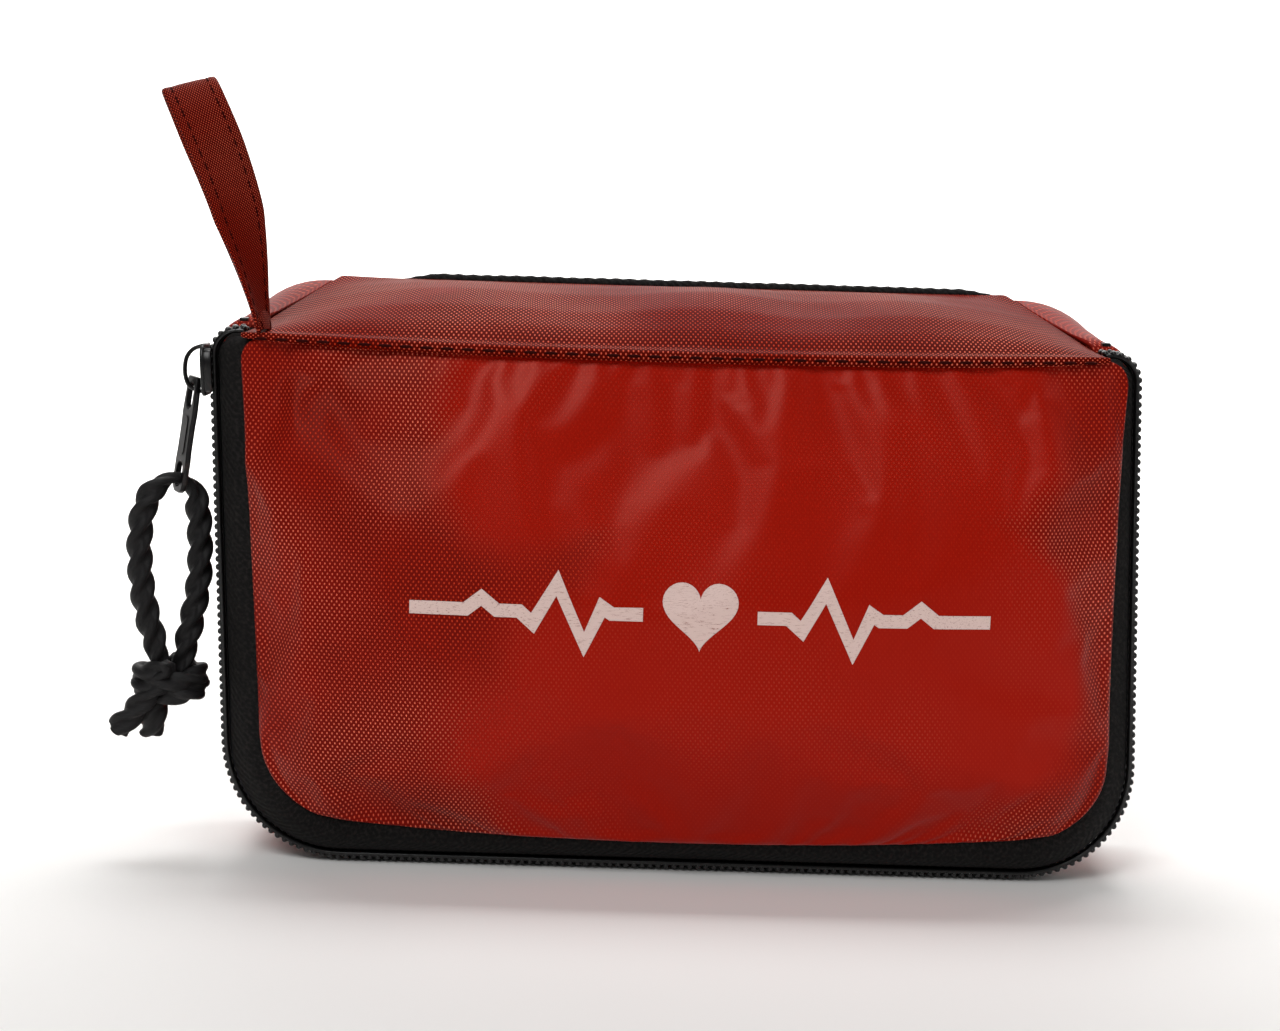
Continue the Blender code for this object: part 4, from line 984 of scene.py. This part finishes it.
# the plate's own axes: a across the pull, b up its length from the pivot, and its thickness through
pull_down = Vector((-math.sin(math.radians(8.0)), 0.0, -math.cos(math.radians(8.0))))
pull_across = Matrix.Rotation(math.radians(-31.0), 3, pull_down) @ Vector((0.0, 1.0, 0.0))
pull_axes = Matrix((pull_across, -pull_down, pull_across.cross(-pull_down))).transposed().to_4x4()
pull_place = slide_frame @ Vector((2.9 * MM, 0.0, -1.9 * MM))
pull_matrix = Matrix.Translation(pull_place) @ pull_axes
body = [(-2.3, 0.1), (-2.0, 0.5), (2.0, 0.5), (2.3, 0.1), (2.8, -6.5), (2.55, -9.0), (2.55, -13.6), (2.8, -16.0),
        (2.8, -20.2), (2.3, -21.5), (1.2, -22.2), (-1.2, -22.2), (-2.3, -21.5), (-2.8, -20.2), (-2.8, -16.0),
        (-2.55, -13.6), (-2.55, -9.0), (-2.8, -6.5)]
pull = extruded("pull_tab_stamped", [body, stadium(1.5, -5.9, -0.5), stadium(1.5, -21.1, -16.1)], -0.55, 0.55,
                zinc_black, pull_matrix, 0.18)
rib = extruded("pull_tab_rib", [stadium(1.1, -14.9, -7.1)], 0.5, 0.72, zinc_black, pull_matrix, 0.08)
rib_back = extruded("pull_tab_rib_behind", [stadium(1.1, -14.9, -7.1)], -0.72, -0.5, zinc_black, pull_matrix, 0.08)
for piece in (pull, rib, rib_back):
    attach(piece, "pull")
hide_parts("pull_tab")

arch_route = evenly(smooth_route([Vector(p) for p in ((0.9, 0, -4.4), (2.6, 0, -4.0), (4.0, 0, -3.2), (4.65, 0, -1.6),
                                                      (4.75, 0, 0.4), (4.3, 0, 2.4), (3.0, 0, 3.9), (0.9, 0, 4.6))], 6),
                    0.3)
arch_verts, arch_faces, sides = [], [], 10
for i, spot in enumerate(arch_route):
    ahead = (arch_route[min(i + 1, len(arch_route) - 1)] - arch_route[max(i - 1, 0)]).normalized()
    over = ahead.cross(Vector((0.0, 1.0, 0.0)))
    for k in range(sides):
        angle = 2 * math.pi * k / sides
        ring = Vector((0.0, 0.68 * math.cos(angle), 0.0)) + over * 0.42 * math.sin(angle)
        arch_verts.append(slide_frame @ ((spot + ring) * MM))
for i in range(len(arch_route) - 1):
    arch_faces += [(i * sides + k, i * sides + (k + 1) % sides,
                    (i + 1) * sides + (k + 1) % sides, (i + 1) * sides + k)
                   for k in range(sides)]
arch_faces += [tuple(range(sides)), tuple(range((len(arch_route) - 1) * sides, len(arch_route) * sides))]
arch = faces_out(mesh_piece("slider_arch", arch_verts, arch_faces, zinc_black))
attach(arch, "slider")
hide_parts("slider_bail")

face_axes = Matrix(((0.0, 0.0, 1.0, 0.0), (1.0, 0.0, 0.0, 0.0), (0.0, 1.0, 0.0, 0.0), (0.0, 0.0, 0.0, 1.0)))
face = [(-3.0, 5.0), (3.0, 5.0), (4.2, 3.6), (4.4, 1.0), (3.6, -4.2), (2.6, -5.0), (-2.6, -5.0), (-3.6, -4.2),
        (-4.4, 1.0), (-4.2, 3.6)]
plate = extruded("slider_face", [face], 0.3, 1.15, zinc_black, slide_frame @ face_axes, 0.3)
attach(plate, "slider")
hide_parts("zip_slider")
for side in (-1, 1):
    edge = [(side * 3.4, 4.2), (side * 4.35, 3.4), (side * 4.35, 0.6), (side * 3.75, -3.8), (side * 3.3, -4.2)]
    flange = extruded("slider_flange_" + ("front" if side > 0 else "back"), [edge], -1.0, 0.4, zinc_black,
                      slide_frame @ face_axes, 0.12)
    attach(flange, "slider")
for name in ("slider_inner_plate", "zip_stop_left", "zip_stop_right"):
    node = frame["nodes"][name]
    for slot in node.material_slots:
        slot.material = zinc_black


# ---- The hang loop ----------------------------------------------------------------------------------------
# A strap folded from the red cloth, raw edges in, with a row of lockstitch along each side. It is bent over
# into a loop and both ends are caught in the corner of the lip, where the strap gathers and turns edge-on.

LOOP_LENGTH = 47.0 * MM
loop_joint = next(j for j in frame["joints"] if j["name"] == "loop_flex")
loop_foot = Vector(loop_joint["pos_m"]) + Vector((0.6, -1.0, -1.6)) * MM
loop_across = Vector(loop_joint["axis"])
loop_out = Vector((0.2588, -0.9659, 0.0))
loop_up = loop_across.cross(loop_out).normalized()
loop_up = loop_up if loop_up.z > 0 else -loop_up


def strap_frame(turn):
    """The strap's middle, its way across and its outside, at a turn of the way round the loop."""
    angle = 2 * math.pi * turn
    high = (1 - math.cos(angle)) / 2
    out = 6.1 * math.sin(angle) * math.sin(angle / 2) ** 1.2
    bow = 1.8 * math.sin(math.pi * high) - 1.2 * high
    middle = loop_foot + loop_up * LOOP_LENGTH * high + loop_out * out * MM + loop_across * bow * MM
    spin = math.radians(62) * (1 - high) ** 1.6
    return middle, Matrix.Rotation(spin, 3, loop_up) @ loop_across, high


strap_steps = 120
stations = [strap_frame(k / strap_steps) for k in range(strap_steps + 1)]
verts, uvs, stitch_rows, gone = [], [], ([], [], [], []), 0.0
profile = [(-1.0, 0.0), (-0.95, 0.42), (-0.8, 0.55), (-0.66, 0.44), (-0.3, 0.56), (0.3, 0.56), (0.66, 0.44),
           (0.8, 0.55), (0.95, 0.42), (1.0, 0.0), (0.95, -0.42), (0.8, -0.5), (0.3, -0.52), (-0.3, -0.52),
           (-0.8, -0.5), (-0.95, -0.42)]
for i, (middle, across, high) in enumerate(stations):
    ahead = (stations[min(i + 1, strap_steps)][0] - stations[max(i - 1, 0)][0]).normalized()
    gone += (middle - stations[i - 1][0]).length if i else 0.0
    side = (across - ahead * across.dot(ahead)).normalized()
    face = side.cross(ahead)
    half = (2.6 + 2.5 * min(1.0, high * 2.2) + 0.15 * noise.noise(Vector((gone * 90, 0.0, 1.0)))) * MM
    curl = 0.5 * MM * (1 - high)
    for a, b in profile:
        sink = curl * (1 - a * a)
        verts.append(middle + side * half * a + face * (b * 0.85 * MM - sink))
        uvs.append((half * a, gone))
    for row, (edge, way) in zip(stitch_rows, ((-0.66, 1), (0.66, 1), (-0.66, -1), (0.66, -1))):
        if 4 < i < strap_steps - 4:
            sink = curl * (1 - edge * edge)
            level = 0.42 if way > 0 else -0.47
            row.append((middle + side * half * edge + face * (level * 0.85 * MM - sink), face * way))
count = len(profile)
faces = [tuple(range(count)), tuple(range(strap_steps * count, (strap_steps + 1) * count))]
faces += [(i * count + k, i * count + (k + 1) % count, (i + 1) * count + (k + 1) % count, (i + 1) * count + k)
          for i in range(strap_steps) for k in range(count)]
strap_cloth = oxford("red_folded_strap", "3A0200", "5A0602", -0.4, 0.55, shine=0.1)
strap = faces_out(mesh_piece("hang_loop_strap", verts, faces, strap_cloth, uvs))
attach(strap, "loop")
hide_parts("hang_loop")
strap_stitches = string_along("strap_stitches", stitch_rows, (1.0 * MM, 0.17 * MM, 0.16 * MM), 2.6 * MM, red_thread)
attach(strap_stitches, "loop")


# ---- The net pockets --------------------------------------------------------------------------------------
# Inside, each half has a pocket of black knotted polyester net under a woven elastic edge band.

net_yarn, tree, shader = new_material("black_net_yarn")
# Fine matt black polyester yarn
shader.inputs["Base Color"].default_value = linear("100F10")
shader.inputs["Roughness"].default_value = 0.75

elastic, tree, shader = new_material("black_woven_elastic")
# Matt black band with fine cross ribs of covered rubber
place = add(tree, "ShaderNodeTexCoord")
ribs = add(tree, "ShaderNodeTexWave", {"Vector": place.outputs["Object"], "Scale": 520.0}, bands_direction="X")
relief = add(tree, "ShaderNodeBump", {"Height": ribs.outputs["Fac"], "Strength": 0.7, "Distance": 0.15 * MM})
tree.links.new(relief.outputs["Normal"], shader.inputs["Normal"])
shader.inputs["Base Color"].default_value = linear("151314")
shader.inputs["Roughness"].default_value = 0.8

net_tree = bpy.data.node_groups.new("net_of_yarn", "GeometryNodeTree")
net_tree.interface.new_socket("Geometry", in_out="INPUT", socket_type="NodeSocketGeometry")
net_thick = net_tree.interface.new_socket("Yarn", in_out="INPUT", socket_type="NodeSocketFloat").identifier
net_finish = net_tree.interface.new_socket("Finish", in_out="INPUT", socket_type="NodeSocketMaterial").identifier
net_tree.interface.new_socket("Geometry", in_out="OUTPUT", socket_type="NodeSocketGeometry")
given = net_tree.nodes.new("NodeGroupInput")
yarns = add(net_tree, "GeometryNodeMeshToCurve", {"Mesh": given.outputs["Geometry"]})
round_yarn = add(net_tree, "GeometryNodeCurvePrimitiveCircle", {"Resolution": 4})
net_tree.links.new(given.outputs["Yarn"], next(i for i in round_yarn.inputs if i.name == "Radius" and i.enabled))
spun = add(net_tree, "GeometryNodeCurveToMesh", {"Curve": yarns.outputs["Curve"],
                                                 "Profile Curve": round_yarn.outputs["Curve"], "Fill Caps": True})
real = add(net_tree, "GeometryNodeRealizeInstances", {"Geometry": spun.outputs["Mesh"]})
painted = add(net_tree, "GeometryNodeSetMaterial", {"Geometry": real.outputs["Geometry"],
                                                    "Material": given.outputs["Finish"]})
add(net_tree, "NodeGroupOutput", {"Geometry": painted.outputs["Geometry"]})

for name, body, half, floor, top, corner, y, swell in (
        ("back_pocket", "back_half", 86.0, 3.5, 62.0, 19.5, -0.2, 0.0),
        ("front_pocket", "front_half", 79.3, 9.5, 62.0, 17.0, -12.1, 0.0)):
    verts, edges, mesh_size = [], [], 3.0
    yarn_runs = []
    for slope in (1, -1):
        start = -half - top
        while start < half + top:
            yarn_runs.append((slope, start))
            start += mesh_size
    for slope, start in yarn_runs:
        run = []
        steps = int((top - floor) / 1.0)
        for k in range(steps + 1):
            z = floor + (top - floor) * k / steps
            x = start + slope * (z - floor) * 0.8 if slope > 0 else start + (top - floor) - (z - floor) * 0.8
            room = half
            if z < floor + corner:
                drop = floor + corner - z
                room = half - corner + math.sqrt(max(0.0, corner ** 2 - drop ** 2))
            if abs(x) <= room:
                run.append(leaned(x * MM, (y + slope * 0.06) * MM, z * MM))
        if len(run) > 1:
            first = len(verts)
            verts += run
            edges += [(first + k, first + k + 1) for k in range(len(run) - 1)]
    base = bpy.data.meshes.new(name + "_yarns")
    base.from_pydata([tuple(v) for v in verts], edges, [])
    source = bpy.data.objects.new(name + "_yarns", base)
    bpy.context.scene.collection.objects.link(source)
    spin = source.modifiers.new("spun", "NODES")
    spin.node_group = net_tree
    spin[net_thick] = 0.16 * MM
    spin[net_finish] = net_yarn
    made = bpy.data.meshes.new_from_object(source.evaluated_get(bpy.context.evaluated_depsgraph_get()))
    bpy.data.objects.remove(source)
    made.name = name + "_net"
    net = bpy.data.objects.new(name + "_net", made)
    bpy.context.scene.collection.objects.link(net)
    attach(net, body)
    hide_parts(name)
    edge = frame["nodes"][name + "_edge"]
    for slot in edge.material_slots:
        slot.material = elastic


# In front: a leaflet and sachets.

def wrapped(name, colour, roughness, crinkle, metallic=0.0, band=None):
    """A thin wrap: its colour, one printed band across it, and the fine crinkle of film or paper."""
    mat, tree, shader = new_material(name)
    lay = add(tree, "ShaderNodeUVMap", uv_map="lay")
    folds = add(tree, "ShaderNodeTexNoise", {"Vector": lay.outputs["UV"], "Scale": 220.0, "Detail": 4.0})
    creases = add(tree, "ShaderNodeTexVoronoi", {"Vector": lay.outputs["UV"], "Scale": 130.0},
                  feature="DISTANCE_TO_EDGE")
    heights = add(tree, "ShaderNodeMath", {0: folds.outputs["Fac"], 1: creases.outputs["Distance"]}, operation="ADD")
    relief = add(tree, "ShaderNodeBump", {"Height": heights.outputs[0], "Strength": crinkle, "Distance": 0.4 * MM})
    tree.links.new(relief.outputs["Normal"], shader.inputs["Normal"])
    if band:
        parts = add(tree, "ShaderNodeSeparateXYZ", {"Vector": lay.outputs["UV"]})
        from_middle = add(tree, "ShaderNodeMath", {0: parts.outputs["Y"]}, operation="ABSOLUTE")
        inside = add(tree, "ShaderNodeMath", {0: from_middle.outputs[0], 1: 9 * MM}, operation="LESS_THAN")
        tint = add(tree, "ShaderNodeMix", {"Factor": inside.outputs[0], "A": linear(colour), "B": linear(band)},
                   data_type="RGBA")
        tree.links.new(tint.outputs["Result"], shader.inputs["Base Color"])
    else:
        shader.inputs["Base Color"].default_value = linear(colour)
    shader.inputs["Roughness"].default_value = roughness
    shader.inputs["Metallic"].default_value = metallic
    return mat


# Bleached paper, gold-tinted foil, glossy film over blue gloves, and white film with a printed band
paper_wrap = wrapped("medical_paper", "E9E6DE", 0.75, 0.25, band="6FA7B8")
gold_foil = wrapped("gold_rescue_foil", "C9A04A", 0.22, 1.0, metallic=1.0)
glove_film = wrapped("film_over_blue_gloves", "3F7FB2", 0.25, 0.7)
white_film = wrapped("white_film_wrap", "E4E4E0", 0.3, 0.6, band="8FBF9A")
sachet_foil = wrapped("sachet_laminate", "D5DCE0", 0.3, 0.4, metallic=0.25, band="5B8FA6")


def packet(node, mat, crimp):
    """A soft wrapped packet in its node's space, pillowed, with flat crimped seals at its two ends."""
    low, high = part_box(node)
    middle, half = (low + high) / 2, (high - low) / 2
    wide, tall = 36, 44
    verts, uvs = [], []
    for way in (-1, 1):
        for r in range(tall + 1):
            for c in range(wide + 1):
                u, v = 2 * c / wide - 1, 2 * r / tall - 1
                into_seal = min(1.0, max(0.0, (1 - abs(v)) * half.z / crimp - 0.8))
                body = (1 - abs(u) ** 5) ** 0.6 * math.sin(into_seal * math.pi / 2)
                lumps = 0.82 + 0.16 * noise.noise(Vector((u * 2.2 + middle.x * 40, v * 2.6, way * 3.0 + middle.y * 90)))
                rim = 0.06 * (1 - max(abs(u), abs(v)) ** 12)
                pull = 1 - 0.025 * (1 - v * v) * abs(u)
                verts.append(middle + Vector((half.x * u * pull, way * half.y * (body * lumps + rim), half.z * v)))
                uvs.append((half.x * u, half.z * v))
    sheet_count = (wide + 1) * (tall + 1)
    faces = [f for f in grid_faces(wide, tall)]
    faces += [tuple(i + sheet_count for i in f) for f in grid_faces(wide, tall)]
    rim = [c for c in range(wide + 1)] + [r * (wide + 1) + wide for r in range(1, tall + 1)]
    rim += [tall * (wide + 1) + c for c in range(wide - 1, -1, -1)] + [r * (wide + 1) for r in range(tall - 1, 0, -1)]
    faces += [(a, b, b + sheet_count, a + sheet_count) for a, b in zip(rim, rim[1:] + rim[:1])]
    piece = faces_out(mesh_piece(node + "_wrapped", verts, faces, mat, uvs))
    body_name = "front_half" if middle.y < -10 * MM else "back_half"
    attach(piece, body_name)
    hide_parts(node)
    return piece


for node, mat, slot, crimp, fill in (
        ("foil_blanket", gold_foil, "foil", 4.0, 0.7), ("triangular_bandage", white_film, "wrap", 5.0, 0.6),
        ("gauze_pack_1", paper_wrap, "gauze", 6.0, 0.5), ("gauze_pack_2", paper_wrap, "gauze", 6.0, 0.5),
        ("gauze_pack_3", paper_wrap, "gauze", 6.0, 0.5), ("wound_dressing", white_film, "wrap", 5.0, 0.6),
        ("glove_pack", glove_film, "glove_bag", 4.0, 0.5), ("wipe_sachet_1", sachet_foil, "foil", 4.5, 0.4),
        ("wipe_sachet_2", sachet_foil, "foil", 4.5, 0.4), ("wipe_sachet_3", sachet_foil, "foil", 4.5, 0.4)):
    packet(node, mat, crimp * MM)

bandage_gauze, tree, shader = new_material("cotton_gauze_bandage")
# Unbleached cotton: an open weave of soft threads, matt, with a warm white sheen
place = add(tree, "ShaderNodeTexCoord")
threads = add(tree, "ShaderNodeTexWave", {"Vector": place.outputs["Object"], "Scale": 330.0, "Distortion": 1.5},
              bands_direction="Z")
fuzz = add(tree, "ShaderNodeTexNoise", {"Vector": place.outputs["Object"], "Scale": 1300.0, "Detail": 3.0})
both = add(tree, "ShaderNodeMath", {0: threads.outputs["Fac"], 1: fuzz.outputs["Fac"]}, operation="ADD")
relief = add(tree, "ShaderNodeBump", {"Height": both.outputs[0], "Strength": 0.7, "Distance": 0.25 * MM})
tree.links.new(relief.outputs["Normal"], shader.inputs["Normal"])
shader.inputs["Base Color"].default_value = linear("E6E0D2")
shader.inputs["Roughness"].default_value = 0.92
shader.inputs["Sheen Weight"].default_value = 0.3

for node in ("bandage_roll_1", "bandage_roll_2"):
    low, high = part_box(node)
    middle, radius, steps, layer = (low + high) / 2, (high.x - low.x) / 2, 72, 0.75 * MM
    layers = int(radius / layer) - 1
    rim = [(radius - j * layer, j % 2) for j in range(layers)]
    verts, faces = [], []
    for k in range(steps + 1):
        turn = k / steps
        spoke = Vector((math.cos(2 * math.pi * turn), math.sin(2 * math.pi * turn), 0.0))
        column = [(max(0.3 * MM, r - 2 * layer * turn), high.z - middle.z - dip * 0.5 * MM) for r, dip in reversed(rim)]
        column += [(r, -h) for r, h in reversed(column)]
        for r, h in column:
            verts.append(middle + spoke * r + Vector((0.0, 0.0, h)))
    count = 2 * layers
    for k in range(steps):
        faces += [(k * count + i, k * count + (i + 1) % count, (k + 1) * count + (i + 1) % count, (k + 1) * count + i)
                  for i in range(count)]
    faces += [tuple(range(count)), tuple(range(steps * count, (steps + 1) * count))]
    roll = soft_edges(faces_out(mesh_piece(node + "_wound", verts, faces, bandage_gauze, smooth=True)), 0.12 * MM)
    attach(roll, "back_half")
    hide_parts(node)

brushed_steel, tree, shader = new_material("brushed_stainless_steel")
# Satin stainless steel, brushed along each tool's length
place = add(tree, "ShaderNodeTexCoord")
brush = add(tree, "ShaderNodeMapping", {"Vector": place.outputs["Object"], "Scale": (2600.0, 2600.0, 90.0)})
scratches = add(tree, "ShaderNodeTexNoise", {"Vector": brush.outputs["Vector"], "Scale": 1.0, "Detail": 3.0})
rough = add(tree, "ShaderNodeMapRange", {"Value": scratches.outputs["Fac"], "To Min": 0.2, "To Max": 0.42})
tree.links.new(rough.outputs[0], shader.inputs["Roughness"])
shader.inputs["Base Color"].default_value = linear("C9CACB")
shader.inputs["Metallic"].default_value = 1.0
plain_paper, tree, shader = new_material("folded_leaflet_paper")
# Uncoated white paper with faint fibres
fibre = add(tree, "ShaderNodeTexNoise", {"Scale": 500.0, "Detail": 4.0})
tint = add(tree, "ShaderNodeMix", {"Factor": fibre.outputs["Fac"], "A": linear("EFECE4"), "B": linear("DEDACF")},
           data_type="RGBA")
tree.links.new(tint.outputs["Result"], shader.inputs["Base Color"])
shader.inputs["Roughness"].default_value = 0.8
for names, mat in ((("scissors_fixed_half", "scissors_moving_half", "scissors_rivet", "tweezers_fixed_leg",
                     "tweezers_moving_leg", "safety_pin_1", "safety_pin_2"), brushed_steel),
                   (("leaflet",), plain_paper), (("tape_roll",), bandage_gauze)):
    for name in names:
        for slot in frame["nodes"][name].material_slots:
            slot.material = mat
for name, colour in (("plaster_pack", "C9A57C"), ("tape_core", "A88A66")):
    card, tree, shader = new_material(name + "_card")
    # Plain carton board with a faint mottle
    mottle = add(tree, "ShaderNodeTexNoise", {"Scale": 300.0, "Detail": 3.0})
    tint = add(tree, "ShaderNodeMix", {"Factor": mottle.outputs["Fac"], "A": linear(colour), "B": linear("8D7455")},
               data_type="RGBA")
    tree.links.new(tint.outputs["Result"], shader.inputs["Base Color"])
    shader.inputs["Roughness"].default_value = 0.8
    for slot in frame["nodes"][name].material_slots:
        slot.material = card


low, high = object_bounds()
